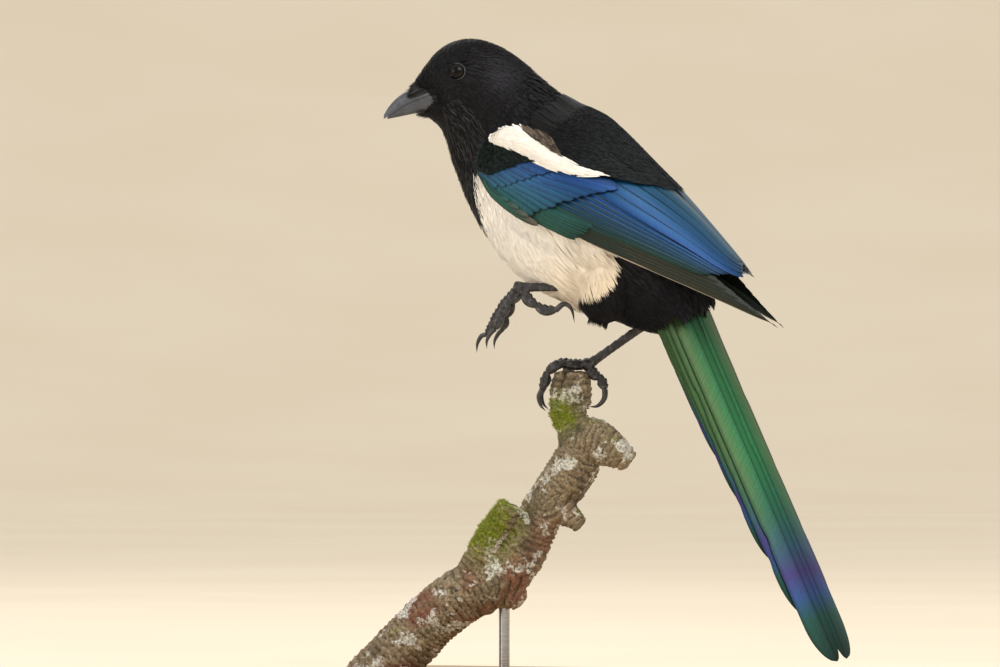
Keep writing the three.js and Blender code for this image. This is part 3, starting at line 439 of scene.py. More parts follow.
# Tail roof: a straight run along the tail of an arc across it
def onTail(along, across, h):
    angle = np.asarray(across / tailShape["arch"])[..., None]
    face = tailUp * np.cos(angle) + tailLeft * np.sin(angle)
    return (np.array(tailShape["root"]) + tailDir * np.asarray(along)[..., None] - tailUp * tailShape["arch"]
            + face * (tailShape["arch"] + np.asarray(h)[..., None]))


def headPoint(x, left, z):
    return turned(spread(x, -np.asarray(left, float), z), 1.0)


eye = {"x": -82.3, "z": 346.9, "left": 12.6, "radius": 5.0, "lidOut": 2.3, "lidRadius": 4.75, "lidThick": 0.3}
eyeCentres = {side: headPoint(eye["x"], side * eye["left"], eye["z"]) for side in (1, -1)}
eyeOut = {side: unit(headPoint(eye["x"] - 3, side * 24, eye["z"] + 2) - eyeCentres[side]) for side in (1, -1)}


bib = {"height": [240, 253.7, 267.6, 275.9, 285, 290, 293], "edge": [-75, -63.3, -66.7, -68.9, -69.2, -66.5,
        -30]}


# How far across the camera's view a point lies, both sides folded on the left: x cos 22 less y sin 22 degrees
viewCos, viewSin = 0.9272, 0.3746


def sideOf(p):
    return p[..., 0] * viewCos - np.abs(p[..., 1]) * viewSin


# Markings, as places of the side plane seen square to the camera: white belly between the black bib and the
# black vent, warmer towards the lower flank
def whiteness(p, wobble=0.0):
    side = sideOf(p)
    q = wingPlace(p)[1]
    front = side - np.interp(p[..., 2], bib["height"], bib["edge"]) + 0.25 * wobble
    rear = 9.0 - side + 0.5 * wobble
    low = p[..., 2] - 217.5 - np.where(side > -5.6, 0.047 * (side + 5.6) ** 2, 0) + 0.5 * wobble
    return (front > 0) * (rear > 0) * (low > 0) * (q < 16) * 1.0


def warmth(p):
    side = sideOf(p)
    return 0.05 + 0.52 * smoothstep(side, -62, 6) * smoothstep(p[..., 2], 276, 222)


# Small feathers over a surface. Each is a closed sliver of five triangular rings, worked out in the surface's
# own coordinates so that it bends with it: x along the feather, y across it, the height rising from a sunk root
# to a free tip; the crown of its middle line makes its thickness
featherAlong = np.array([0, 0.32, 0.62, 0.86, 1.0])
featherAcross = np.array([-1.0, 0.0, 1.0])
featherWidths = np.array([0.6, 1.0, 0.82, 0.46, 0.05])  # share of the full width at each ring
featherRings, featherSides = len(featherAlong), len(featherAcross)
featherPoints = featherRings * featherSides


def layCoat(name, surface, a, b, length, width, sink, tip, crown, swing, unwrap, rng, mark=None, warm=None,
            skirt=0.0, frameSteps=None, wavy=0.0, tone=None):
    count = len(a)
    da, db, normal = frameOf(surface, a, b, **(frameSteps or {}))
    lengthA = np.linalg.norm(da, axis=-1)
    e1 = da / lengthA[:, None]
    e2 = np.cross(normal, e1)
    dbE1, dbE2 = np.sum(db * e1, -1), np.sum(db * e2, -1)
    t, w = featherAlong[None, :, None], featherAcross[None, None, :]
    full = lambda v: np.broadcast_to(np.asarray(v, float), (count,))[:, None, None]
    x = full(length) * t + 0 * w
    y = full(width) / 2 * w * featherWidths[None, :, None] + full(wavy) * np.sin(2.6 * t + rng.uniform(0,
            fullTurn, (count, 1, 1))) * t
    turn = full(swing)
    xs, ys = x * np.cos(turn) - y * np.sin(turn), x * np.sin(turn) + y * np.cos(turn)
    stepB = ys / dbE2[:, None, None]
    stepA = (xs - stepB * dbE1[:, None, None]) / lengthA[:, None, None]
    h = full(sink) + (full(tip) - full(sink)) * t ** 0.85 + full(skirt) * t ** 3 + full(crown) * (w == 0) * (0.4 + 0.6 * t)
    points = raised(surface, a[:, None, None] + stepA, b[:, None, None] + stepB, h, **(frameSteps or {}))
    tone = rng.uniform(0, 1, count) if tone is None else tone
    vane = np.stack([(w + 1) / 2 + 0 * t + (2 * np.arange(count))[:, None, None], t + 0 * w + full(tone * 9)],
                    -1)
    home = np.stack([unwrap[0], unwrap[1]], -1)[:, None, None, :]
    patch = home + 0.003 * np.stack([w / 2 + 0 * t, t - 0.5 + 0 * w], -1)
    # a fold of the surface would stretch a feather; such feathers are left out
    sound = np.linalg.norm(points - points[:, :1, 1:2], axis=-1).max((1, 2)) < 1.3 * full(length)[:, 0, 0] + 1.5
    faces = repeated(ringFaces(featherRings, featherSides, flip=True), int(sound.sum()), featherPoints)
    each = lambda v: np.repeat(np.broadcast_to(np.asarray(v, float), (count,))[sound], featherPoints)
    marks = {"tone": each(tone), "mark": each(0 if mark is None else mark),
             "warm": each(0 if warm is None else warm)}
    return putMesh(name, points[sound], faces, {"vane": vane[sound], "OFBake": np.clip(patch, 0, 1)[sound]},
                   marks, sharp=60)


# Roots in staggered rows over a surface: rows alongGap apart, acrossGap apart in a row, each moved a little
def rootsOver(surface, a0, a1, b0, b1, alongGap, acrossGap, rng, jitter=0.35):
    fine, round_ = np.linspace(a0, a1, 160), np.linspace(b0, b1, 120)
    grid = surface(fine[:, None], round_[None, :])
    run = np.concatenate([[0], np.cumsum(np.linalg.norm(np.diff(grid, axis=0), axis=-1).mean(1))])
    rowsAt = np.interp(np.arange(0, run[-1], alongGap), run, fine)
    allA, allB = [], []
    for i, a in enumerate(rowsAt):
        ring = surface(np.full(120, a), round_)
        girth = np.concatenate([[0], np.cumsum(np.linalg.norm(np.diff(ring, axis=0), axis=-1))])
        many = max(3, int(girth[-1] / acrossGap))
        place = (np.arange(many) + 0.5 * (i % 2) + 0.25 + rng.uniform(-jitter, jitter, many)) / many * girth[-1]
        allB.append(np.interp(place, girth, round_))
        allA.append(np.full(many, a) + rng.uniform(-jitter, jitter, many) * (a1 - a0) / len(rowsAt))
    return np.concatenate(allA), np.concatenate(allB)


# One run of the trunk's coat between two stations
def trunkCoat(name, material, stations, gaps, size, seed, sink=-1.2, tip=0.2, crown=0.16, swing=0.1,
              keepIf=None, skirt=0.0, wavy=0.0, angles=(0, 2 * np.pi), toneAndSheenOf=None):
    rng = np.random.default_rng(seed)
    a, b = rootsOver(plumage, *stations, *angles, *gaps, rng)
    p = plumage(a, b)
    chosen = np.ones(len(a), bool) if keepIf is None else keepIf(a, b, p)
    a, b, p = a[chosen], b[chosen], p[chosen]
    length, width = (value(a, b) if callable(value) else np.full(len(a), value) for value in size)
    # a feather's marking is that of the place its end covers
    ahead = p + unit(plumage(a + 0.1, b) - p) * (0.85 * length)[:, None]
    wobble = rng.normal(0, 1.4, len(a))
    piece = layCoat(name, plumage, a, b, length * rng.uniform(0.86, 1.14, len(a)),
                    width * rng.uniform(0.85, 1.15, len(a)), sink, tip + rng.uniform(-0.12, 0.12, len(a)),
                    crown, rng.normal(0, swing, len(a)), (0.02 + 0.94 * (b % (2 * np.pi)) / (2 * np.pi),
                                                          0.02 + 0.94 * np.clip(a, 0, 18) / 18), rng,
                                                          mark=whiteness(ahead, wobble), warm=warmth(ahead),
                                                          skirt=skirt * rng.uniform(0.3, 1.3, len(a)),
                                                          wavy=wavy * rng.normal(0, 1, len(a)),
                                                          tone=None if toneAndSheenOf is None else toneAndSheenOf(p, rng))
    print(name, len(a), "feathers")
    return keep(piece, material)


# A tube: rings square to a smooth path, their radius a function of the share t along it and the angle round it,
# angle 0 at the side that up points to
def tube(path, radius, sides, steps, up=(0, 0, 1), flat=1.0):
    path = np.array(path, float)
    curve = [through(np.arange(len(path)), path[:, i]) for i in range(3)]
    t = np.linspace(0, 1, steps + 1)
    at = lambda share: np.stack([c(share * (len(path) - 1)) for c in curve], -1)
    centre, along = at(t), unit(at(np.minimum(t + 0.01, 1)) - at(np.maximum(t - 0.01, 0)))
    side = unit(np.cross(along, np.array(up, float)))
    top = np.cross(side, along)
    angle = around(sides)
    r = np.broadcast_to(radius(t[:, None], angle[None, :]), (steps + 1, sides))[..., None]
    return (centre[:, None] + top[:, None] * r * np.cos(angle)[None, :, None]
            + side[:, None] * r * flat * np.sin(angle)[None, :, None])


# A closed patch of the wing's sheet between two heights, rounded at its edges
def wingPatch(us, low, high, inner, outer, side, cols=16):
    u = np.linspace(us[0], us[-1], 26)
    end = np.maximum(0.35, np.sin(np.pi * (np.arange(26) + 0.35) / 25.7) ** 0.5)
    c = np.cos(np.pi * (1 - np.arange(cols + 1) / cols))
    lowAt, highAt = through(us, low)(u), through(us, high)(u)
    s = ((lowAt + highAt) / 2)[:, None] + ((highAt - lowAt) / 2 * end)[:, None] * c
    thick = (outer - inner) / 2 * (np.sqrt(np.maximum(0, 1 - c * c)) * 0.85 + 0.15) * end[:, None]
    top = onWing(u[:, None] + 0 * s, s, (inner + outer) / 2 + thick)
    under = onWing(u[:, None] + 0 * s, s, (inner + outer) / 2 - thick)[:, ::-1]
    p = np.concatenate([top, under], 1)
    p[..., 1] *= side
    return p, ringFaces(26, 2 * (cols + 1), flip=side > 0)


legs = {
    "leftAnkle": (7.3, -17, 227.5), "leftFoot": (-38.6, -22, 227.2),
    "rightAnkle": (28.5, 11, 210.5), "rightFoot": (-9.4, 8, 184.6),
    "thighTop": {"left": (18, -20, 251), "right": (22, 15, 240)},
    "thighEnd": {"left": (6, -17.6, 209), "right": (27.3, 11, 209.3)},
    "thighRadii": {"left": [9, 15, 13, 5], "right": [9, 13, 7, 3.6]},
}


def thighSurface(which):
    top, end = np.array(legs["thighTop"][which], float), np.array(legs["thighEnd"][which], float)
    girth = through([0, 0.45, 0.85, 1], legs["thighRadii"][which])
    along = unit(end - top)
    side = unit(np.cross(along, np.array([0, 1.0, 0])))
    out = np.cross(side, along)

    def at(a, b):  # a runs from 0 at the hip to 1 at the ankle, b round the thigh
        a, b = np.broadcast_arrays(np.asarray(a, float), np.asarray(b, float))
        centre = top + (end - top) * a[..., None]
        r = girth(np.clip(a, 0, 1))[..., None]
        return centre + out * r * np.cos(b)[..., None] + side * r * np.sin(b)[..., None]
    return at


print("skin")
skinShape = {
    "face": 0.9, "trunk": 2.2, "thigh": 2.0,  # depth below the tips of the coat
    "thighWide": 15, "thighRings": 24,        # widest radius of a thigh, rings along it
    "stations": (-0.4, 16.7), "rings": 124, "sides": 72, "voxel": 1.5,
}
stationsFine, anglesFine = np.linspace(*skinShape["stations"], skinShape["rings"]), around(skinShape["sides"])
trunkDepth = mix(skinShape["face"], skinShape["trunk"], smoothstep(stationsFine, 1, 8))[:, None]
trunk = raised(plumage, stationsFine[:, None], anglesFine[None, :], -trunkDepth + 0 * anglesFine)
skinShapes = [(trunk, ringFaces(skinShape["rings"], skinShape["sides"]))]
for which in ("left", "right"):
    at, shares = thighSurface(which), np.linspace(0, 1, skinShape["thighRings"])
    grid = at(shares[:, None], anglesFine[None, ::2])
    middle = grid.mean(1, keepdims=True)
    skinShapes.append((middle + (grid - middle) * (1 - skinShape["thigh"] / skinShape["thighWide"]),
                       ringFaces(skinShape["thighRings"], skinShape["sides"] // 2)))
for side in (1, -1):
    skinShapes.append(wingPatch([-3, 6, 18, 34, 50, 64], [-3, -8, -13, -14.5, -14, -10],
                                [9, 14, 19, 25, 30, 33], -9.5, -1.6, side))
    skinShapes.append(wingPatch([-4, 2, 10, 20, 33], [-4, -8, -6, 1, 9], [9, 13, 15, 16.5, 17], -4.0, 0.3,
                                side))
    skinShapes.append(wingPatch([-3, 1, 8, 18, 28, 38], [10.5, 11.5, 13, 14.6, 16, 18],
                                [14, 17, 21, 23, 23.5, 24], -4.0, 3.0, side))
alongTail = np.linspace(4, 46, 14)
tailHalf, tailDeep = through([4, 14, 20, 30, 40, 46], [3, 4, 9, 12, 12, 9])(alongTail), through([4, 46],
        [4.0, 3.4])(alongTail)
tailAngle = around(24)
skinShapes.append((onTail(alongTail[:, None] + 0 * tailAngle, tailHalf[:, None] * np.sin(tailAngle),
                          -3.9 + tailDeep[:, None] * np.cos(tailAngle)), ringFaces(14, 24)))
skin = fused("skin", skinShapes, skinShape["voxel"])
skinPoints = pointsOf(skin)
# a shallow dish round each eye, so that the lid stands clear
for side in (1, -1):
    away = skinPoints - eyeCentres[side]
    high = away @ eyeOut[side]
    ringAway = np.linalg.norm(away - high[:, None] * eyeOut[side], axis=1)
    lowered = np.minimum(high, eye["lidOut"] - 0.3 + 6 * smoothstep(ringAway, 5.4, 9.0))
    skinPoints = skinPoints + np.where((high > 0) & (ringAway < 9), lowered - high, 0)[:, None] * eyeOut[side]
movePoints(skin, skinPoints)
# the scapulars' cushion is as white as their feathers
u, q = wingPlace(skinPoints)
cushion = (u > -1) & (u < 42) & (q > 10) & (q < 22) & (np.abs(skinPoints[:, 1]) > wingHalf(u)
                                                       * np.cos(np.clip(q, 0, 40) / 48) + 1.4)
white = whiteness(skinPoints)
white[(u > 2) & (u < 60) & (q > -12.5) & (np.abs(skinPoints[:, 1]) > 27)] = 0  # painted shade: the down is made black under the folded wing
putMarks(skin.data, {"mark": np.maximum(white, cushion), "warm": warmth(skinPoints)})

softFeather = contourMaterial("contour feathers, soft keratin", "black", 0.6, 0.03)
sleekFeather = contourMaterial("head feathers, close keratin", "black", 0.5, 0.03)
mantleFeather = contourMaterial("mantle feathers, faintly glossed keratin", "mantle", 0.45, 0.1)
# painted highlight: the throat hackles' pale streaks stand for the gloss along their shafts; the bristles share it
throatFeather = contourMaterial("throat hackles, keratin with painted shaft gloss", "throat", 0.55, 0.0)
shoulderFeather = contourMaterial("shoulder feathers, downy keratin", "shoulder", 0.6, 0.04)
brownFeather = contourMaterial("worn brown feathers, keratin", "brown", 0.65, 0.0)
# bare skin under the coat, in the coat's own colours
skinMaterial, skinTree, skinShader = startMaterial("down over skin, matt", roughness=0.8, ior=1.45)
skinTree.links.new(addNode(skinTree, "Mix",
                           {0: addNode(skinTree, "Attribute", out="Fac", attribute_name="mark"),
                            6: linear("#0b0b0e"), 7: addNode(skinTree, "Mix",
                                                             {0: addNode(skinTree, "Attribute", out="Fac",
                                                                     attribute_name="warm"), 6: linear("#e9e2d4"), 7: linear("#c9a878")}, out=2, data_type="RGBA")}, out=2, data_type="RGBA"), skinShader.inputs["Base Color"])
# down tufts of about 1 mm
downGrain = addNode(skinTree, "TexNoise", {"Vector": addNode(skinTree, "TexCoord", out="Object"),
                                           "Scale": 900.0, "Detail": 2.0}, out="Fac")
skinTree.links.new(addNode(skinTree, "Bump", {"Height": downGrain, "Strength": 0.5, "Distance": 0.0004}),
                   skinShader.inputs["Normal"])
keep(skin, skinMaterial, ["head", "neck", "torso", "thigh_left", "thigh_right"])


print("trunk coat")


# Head feathers stop at the lids and at the bill
def clearOfFace(a, b, p):
    tipPoint = plumage(a + 0.25, b)
    free = np.ones(len(a), bool)
    for side in (1, -1):
        for q in (p, tipPoint, (p + tipPoint) / 2):
            away = q - eyeCentres[side]
            inPlane = away - (away @ eyeOut[side])[:, None] * eyeOut[side]
            free &= (np.linalg.norm(inPlane, axis=1) > 5.6) | (away @ eyeOut[side] < 0)
    return free


# Where the folded wing hides the trunk there is only skin and down
def inSight(a, b, p):
    u, q = wingPlace(p)
    hidden = (u > 8) & (u < 96) & (q > -12) & (np.abs(p[:, 1]) > 14) & (q < 36)
    return ~hidden


# Painted sheen: the ear coverts are made a little greyer than the rest of the head, standing in for their shine;
# elsewhere the tone differs at random
def earSheenAndTone(p, rng):
    tone = rng.uniform(0, 0.6, len(p))
    for side in (1, -1):
        tone += 1.1 * np.exp(-(np.linalg.norm(p - headPoint(-63, side * 17, 349), axis=1) / 8.5) ** 2)
    return tone


trunkCoat("head_feathers", sleekFeather, (-0.35, 3.2), (1.0, 0.95),
          (lambda a, b: mix(3.0, 5.6, smoothstep(a, 0, 3)), lambda a, b: mix(1.0, 1.6, smoothstep(a, 0, 3))),
          11, sink=-0.75, tip=0.05, crown=0.1, keepIf=clearOfFace, swing=0.1, toneAndSheenOf=earSheenAndTone)
trunkCoat("nape_feathers", sleekFeather, (3.0, 6.0), (1.25, 1.15),
          (lambda a, b: mix(5.6, 8.5, smoothstep(a, 3, 6)), lambda a, b: mix(1.6, 2.0, smoothstep(a, 3, 6))),
          12, sink=-1.0, tip=0.1, crown=0.1, swing=0.1, keepIf=clearOfFace, toneAndSheenOf=earSheenAndTone)
trunkCoat("neck_feathers", softFeather, (5.8, 10.4), (1.7, 1.5), (lambda a, b: mix(9, 12, smoothstep(a, 6, 9)),
        2.2), 13, sink=-1.5, tip=0.05, crown=0.08, swing=0.12, keepIf=lambda a, b, p: (a < 9)
        | (np.cos(b) > 0.1))
# stiffer throat feathers whose split ends stand a little free
trunkCoat("throat_hackles", throatFeather, (2.2, 8.6), (1.9, 1.35),
          (lambda a, b: mix(5, 10, smoothstep(a, 2, 6)), 0.5), 19, sink=-0.5, tip=0.2, crown=0.1, swing=0.14,
          skirt=0.55, wavy=0.3, angles=(1.7, 4.6), keepIf=clearOfFace)
trunkCoat("back_feathers", softFeather, (9.6, 17.0), (2.2, 1.9),
          (lambda a, b: mix(13.0, 10.0, smoothstep(a, 15, 17)), 2.8), 14, sink=-1.7, tip=0.05, crown=0.08,
          swing=0.1, keepIf=lambda a, b, p: inSight(a, b, p) & (np.cos(b) > 0.1))
for name, run, seed in (("breast_feathers", (8.6, 12.0), 15), ("belly_feathers", (12.0, 15.4), 21)):
    trunkCoat(name, softFeather, run, (1.35, 0.85), (13.0, 1.1), seed, sink=-1.6, tip=0.0, crown=0.04,
              swing=0.07, skirt=0.03, wavy=0.2, keepIf=lambda a, b, p: inSight(a, b, p) & (np.cos(b) <= 0.15))
# long flank feathers that come out from under the wing and close over the thigh
trunkCoat("flank_feathers", softFeather, (9.6, 15.0), (1.15, 0.75), (18.0, 0.8), 20, sink=-1.6, tip=2.4,
          crown=0.05, swing=0.06, skirt=0.35, wavy=0.3, keepIf=lambda a, b, p: (sideOf(p) > -30)
          & (sideOf(p) < -8) & (p[:, 2] > 217) & (np.abs(p[:, 1]) > 9) & (np.cos(b) <= 0.15))
trunkCoat("vent_feathers", softFeather, (15.0, 16.5), (1.05, 0.8),
          (lambda a, b: mix(13.0, 8.5, smoothstep(a, 15.4, 16.5)), 0.8), 16, sink=-1.6, tip=0.1, crown=0.08,
          swing=0.16, skirt=0.5, wavy=0.4, keepIf=lambda a, b, p: np.cos(b) <= 0.5)


# Loose feathers round a thigh; on the outer side they sweep back, on from the flank
def thighCoat(which, length, seed, sweep):
    rng = np.random.default_rng(seed)
    at = thighSurface(which)
    steps = {"stepA": 0.02, "stepB": 0.05}
    a, b = rootsOver(at, 0.08, 0.93, 0, 2 * np.pi, 1.05, 0.68, rng)
    down, _, outward = frameOf(at, a, b, **steps)
    down = unit(down)
    turn = -sweep * outward[:, 1] + rng.normal(0, 0.08, len(a))
    reach = length * rng.uniform(0.85, 1.15, len(a))
    end = at(a, b) + reach[:, None] * (down * np.cos(turn)[:, None] + np.cross(outward, down)
                                       * np.sin(turn)[:, None])
    white = whiteness(end, rng.normal(0, 1.2, len(a)))
    piece = layCoat("thigh_feathers_" + which, at, a, b, reach, 0.68, -1.3, 0.05, 0.05,
                    turn, (0.02 + 0.94 * b / (2 * np.pi), 0.02 + 0.94 * a), rng,
                    mark=white, warm=warmth(end), skirt=mix(0.6, 0.25, white), frameSteps=steps, wavy=0.35)
    print("thigh coat", which, len(a))
    return keep(piece, softFeather)


thighCoat("left", 11.0, 17, 0.75)
thighCoat("right", 9.0, 18, 0.2)


print("wings")


# Share of a vane's full width: narrow at the quill, full in the middle, an elliptical tip
def vaneWidth(t, tipShare, rootShare):
    start = smoothstep(t, -0.05, rootShare)
    end = np.sqrt(np.clip(1 - (np.maximum(0, t - 1 + tipShare) / tipShare) ** 2, 0.0004, 1))
    return mix(0.45, 1, start) * end


def fan(count, **values):
    return {key: np.linspace(*value, count) if isinstance(value, tuple) else np.zeros(count) + value
            for key, value in values.items()}


vaneTop = np.array([-1, -0.74, -0.45, -0.16, -0.035, 0.0, 0.035, 0.16, 0.45, 0.74, 1])
vaneUnder = np.array([0.62, 0.0, -0.62])
vaneSides = np.concatenate([vaneTop, vaneUnder])


# Vanes as closed, slightly arched blades round a raised shaft. q is the place across in millimetres, h the
# height: it rises from a dipped root, slopes down from the lower to the covered edge, with the shaft's ridge on
# top and a shallow belly below. Barbs part in a few notches along both edges
def bladeOf(spec, rows, rng, thick=0.34, ridge=0.16, camber=0.5, notches=3, rootShare=0.35):
    count = len(spec["below"])
    c = {key: value[:, None, None] for key, value in spec.items()}
    t = (1 - (1 - np.linspace(0, 1, rows)) ** 1.25)[None, :, None]
    w = vaneSides[None, None, :]
    wide = vaneWidth(t, c["tipShare"], rootShare)
    edge = np.ones((count, rows, len(vaneSides)))
    for _ in range(notches):
        place, depth = rng.uniform(0.3, 0.9, (count, 1, 1)), rng.uniform(0.02, 0.12, (count, 1, 1))
        which = np.where(rng.uniform(size=(count, 1, 1)) < 0.5, -1, 1)
        edge -= depth * np.exp(-((t + 0.05 * np.abs(w) - place) / 0.022) ** 2) * (w * which > 0.6)
    q = np.where(w < 0, w * c["below"], w * c["above"]) * wide * edge
    topHeight = camber * (1 - w ** 2) * wide + ridge * (np.abs(w) < 0.04) * (1 - 0.6 * t)
    under = np.arange(len(vaneSides)) >= len(vaneTop)
    h = np.where(under, topHeight - thick * (1 - w ** 2) - ridge * (np.abs(w) < 0.04) * (1 - 0.6 * t),
                 topHeight)
    return t, w, wide, q, h, c


def putBlades(name, points, t, w, q, lengths, rng, flip):
    count, rows, sides = points.shape[:3]
    tone = rng.uniform(0, 1, count)[:, None, None]
    alongMm = t * lengths[:, None, None]
    vane = np.stack(np.broadcast_arrays((w + 1) / 2 + 0 * q, t + 0 * q), -1)
    barb = np.stack(np.broadcast_arrays(np.abs(q) / 10 + tone * 7, (alongMm - 0.9 * np.abs(q)) / 10 + tone
                                        * 13), -1)
    cell = np.arange(count)[:, None, None]  # each vane has one cell of the map
    bake = np.stack(np.broadcast_arrays((cell + 0.04 + 0.92 * (w + 1) / 2) / count + 0 * q,
                                        0.02 + 0.96 * t + 0 * q), -1)
    faces = repeated(ringFaces(rows, sides, flip), count, rows * sides)
    return putMesh(name, points, faces, {"vane": vane, "barb": barb, "OFBake": bake},
                   {"order": np.broadcast_to((np.arange(count) / max(count - 1, 1))[:, None, None], q.shape)},
                   sharp=50)


# Vanes on the wing's sheet, from root to tip in wing places with a bow between them
def wingVanes(name, spec, side, rows, seed, loose=0.5, **blade):
    rng = np.random.default_rng(seed)
    count = len(spec["below"])
    spec = {key: value.copy() for key, value in spec.items()}
    spec["tipS"] += rng.normal(0, loose * 0.4, count)
    spec["tipU"] += rng.normal(0, loose, count)
    spec["h"] += np.arange(count) % 2 * 0.05
    t, w, wide, q, h, c = bladeOf(spec, rows, rng, **blade)
    du, ds = c["tipU"] - c["rootU"], c["tipS"] - c["rootS"]
    size = np.hypot(du, ds)
    du, ds = du / size, ds / size
    sag = c["bow"] * 4 * t * (1 - t) + q
    u, s = mix(c["rootU"], c["tipU"], t) - ds * sag, mix(c["rootS"], c["tipS"], t) + du * sag
    lift = c["h"] - c["dip"] * (1 - smoothstep(t, 0, 0.35)) - c["slope"] * (q + c["below"] * wide) + h
    points = onWing(u, s, lift)
    points[..., 1] *= side
    return putBlades(name, points, t, w, q, size[:, 0, 0], rng, side > 0)


wingSets = {
    # rows of one kind of feather; every pair runs from the first to the last of the row
    "primaries": fan(7, rootU=44, rootS=np.array([-10, -9.4, -8.6, -7.4, -5.8, -3.9, -1.6]), tipU=(189.5, 150),
                     tipS=np.array([1.8, 2.3, 3.0, 4.0, 5.3, 6.8, 8.6]), bow=(1.4, 1.0), below=2.5, above=5.0,
                     h=(-5.3, -1.9), dip=0, slope=0.04, tipShare=0.12),
    "secondaries": fan(7, rootU=46, rootS=(-1.6, 17), tipU=(142, 154), tipS=(8.4, 17.8), bow=(0.6, 2.4),
                       below=1.6, above=3.4,
                       h=-0.7, dip=0, slope=0.24, tipShare=0.08),
    "tertials": fan(5, rootU=(42, 62), rootS=(22, 46), tipU=(158, 150), tipS=(20, 31), bow=(3.2, 8.5),
                    below=5.2, above=(6.0, 8.5),
                    h=(0.0, 0.8), dip=3.4, slope=0.08, tipShare=0.14),
    "greater": fan(11, rootU=(3, 30), rootS=(-6.4, 14), tipU=(43, 78), tipS=(-8.0, 28), bow=(1.6, -0.6),
                   below=(2.6, 3.2), above=4.4,
                   h=1.2, dip=3.0, slope=0.12, tipShare=0.16),
    "median": fan(9, rootU=(-2, 18), rootS=(-3.5, 13), tipU=(17, 42), tipS=(-5.6, 16.5), bow=(1.0, -0.6),
                  below=2.4, above=3.2,
                  h=1.55, dip=2.6, slope=0.1, tipShare=0.3),
    "primaryCoverts": fan(7, rootU=36, rootS=(-11, -3), tipU=(72, 78), tipS=(-8.2, 2.2), bow=0, below=1.4,
                          above=2.6,
                          h=0.3, dip=2.6, slope=0.26, tipShare=0.24),
    "alula": fan(4, rootU=(0, 3), rootS=(-5.4, -2.6), tipU=(49, 27), tipS=(-11.4, -8.0), bow=-3.2, below=1.6,
                 above=2.4,
                 h=1.9, dip=2.4, slope=0.2, tipShare=0.2),
}

# Edges of the small-feathered fields on the wing, across as a function of u
scapularLow = through([-4, 5.5, 15, 24.5, 34.5, 45, 53.5, 66, 71.5], [10, 10.8, 13.2, 14.8, 15.9, 17.2, 20.6,
        28.0, 31.6])
scapularHigh = through([-1.5, 1, 4.5, 9.5, 17, 25.5, 33.5, 40.5, 50.5, 59.5, 71.5],
                       [14.5, 19.4, 22.2, 23.8, 24.4, 24.4, 24.4, 25, 25.8, 27.6, 32.2])
shoulderLow = through([-4.5, -2, 4, 11, 14.5, 20, 26.5, 32], [4.5, -1, -2.4, -1.4, 2.4, 7, 12.6, 16.4])
mantleLow = through([14, 27, 40, 52, 62, 72, 86.5, 100], [28, 28.0, 26.6, 27.0, 28.6, 32.3, 38.3, 49])
middleLine = lambda u: (wingHalf(u) + wingBack(u)) / 2 * np.pi / 2


# Places strewn over a field between two edges, one a cell of a jittered grid
def strewn(low, high, first, last, gapU, gapS, rng):
    u, s = np.meshgrid(np.arange(first, last, gapU), np.arange(-15, 80, gapS), indexing="ij")
    u = (u + rng.uniform(-0.5, 0.5, u.shape) * gapU).ravel()
    s = (s + rng.uniform(-0.5, 0.5, s.shape) * gapS).ravel()
    inside = (s > low(u)) & (s < high(u))
    return u[inside], s[inside]


# A coat of small feathers over the wing. Their tips are placed, and each root is found back along the lie, an
# angle from the wing's own direction towards the back; heightAt lifts the sheet they lie on
def wingCoat(name, material, side, tips, length, lie, heightAt, width, seed, marks=(0.0, 0.0), front=-99.0,
             tone=None, sink=-1.2, tip=0.1, crown=0.08, skirt=0.0, wavy=0.15):
    rng = np.random.default_rng(seed)
    u, s = tips(rng)
    angle = lie(u, s) + rng.normal(0, 0.09, len(u))
    reach = np.clip(length * rng.uniform(0.85, 1.15, len(u)), 2.4, np.maximum(u - front, 2.4))
    rootU, rootS = u - reach * np.cos(angle), s - reach * np.sin(angle)
    surface = lambda a, b: onWing(a, -side * b, heightAt(a, -side * b)) * np.array([1.0, side, 1.0])
    piece = layCoat(name, surface, rootU, -side * rootS, reach, width * rng.uniform(0.8, 1.15, len(u)), sink,
                    tip + rng.uniform(-0.1, 0.1, len(u)), crown, side * angle,
                    (0.02 + 0.94 * (rootU + 20) / 220, 0.02 + 0.94 * (rootS + 40) / 130), rng,
                    mark=marks[0], warm=marks[1], skirt=skirt, frameSteps={"stepA": 0.5, "stepB": 0.5},
                    wavy=wavy * rng.normal(0, 1, len(u)), tone=None if tone is None else tone(u, s, rng))
    print(name, len(u), "feathers")
    return piece


# The white feathers lie on a cushion, the mantle on the tertials and then on the back, the shoulder on the
# wrist
def scapularHeight(u, s):
    low, high = scapularLow(u), scapularHigh(u)
    c = np.clip((s - (low + high) / 2) / np.maximum((high - low) / 2, 4.5), -1, 1)
    return (2.2 + mix(3.0, 0.5, smoothstep(u, 28, 66)) * (1 - c * c)) * mix(0.4, 1, smoothstep(u, -6, 5))


def mantleHeight(u, s):
    return mix(2.2, mix(-0.4, 0.5, smoothstep(u, 22, 46)), smoothstep(s, 38, 56)) - 3.0 * (1 - smoothstep(u, 20,
            42)) * smoothstep(s, 30, 42)


def shoulderHeight(u, s):
    return mix(1.0, 2.3, smoothstep(u, -5, 8)) + 0 * s


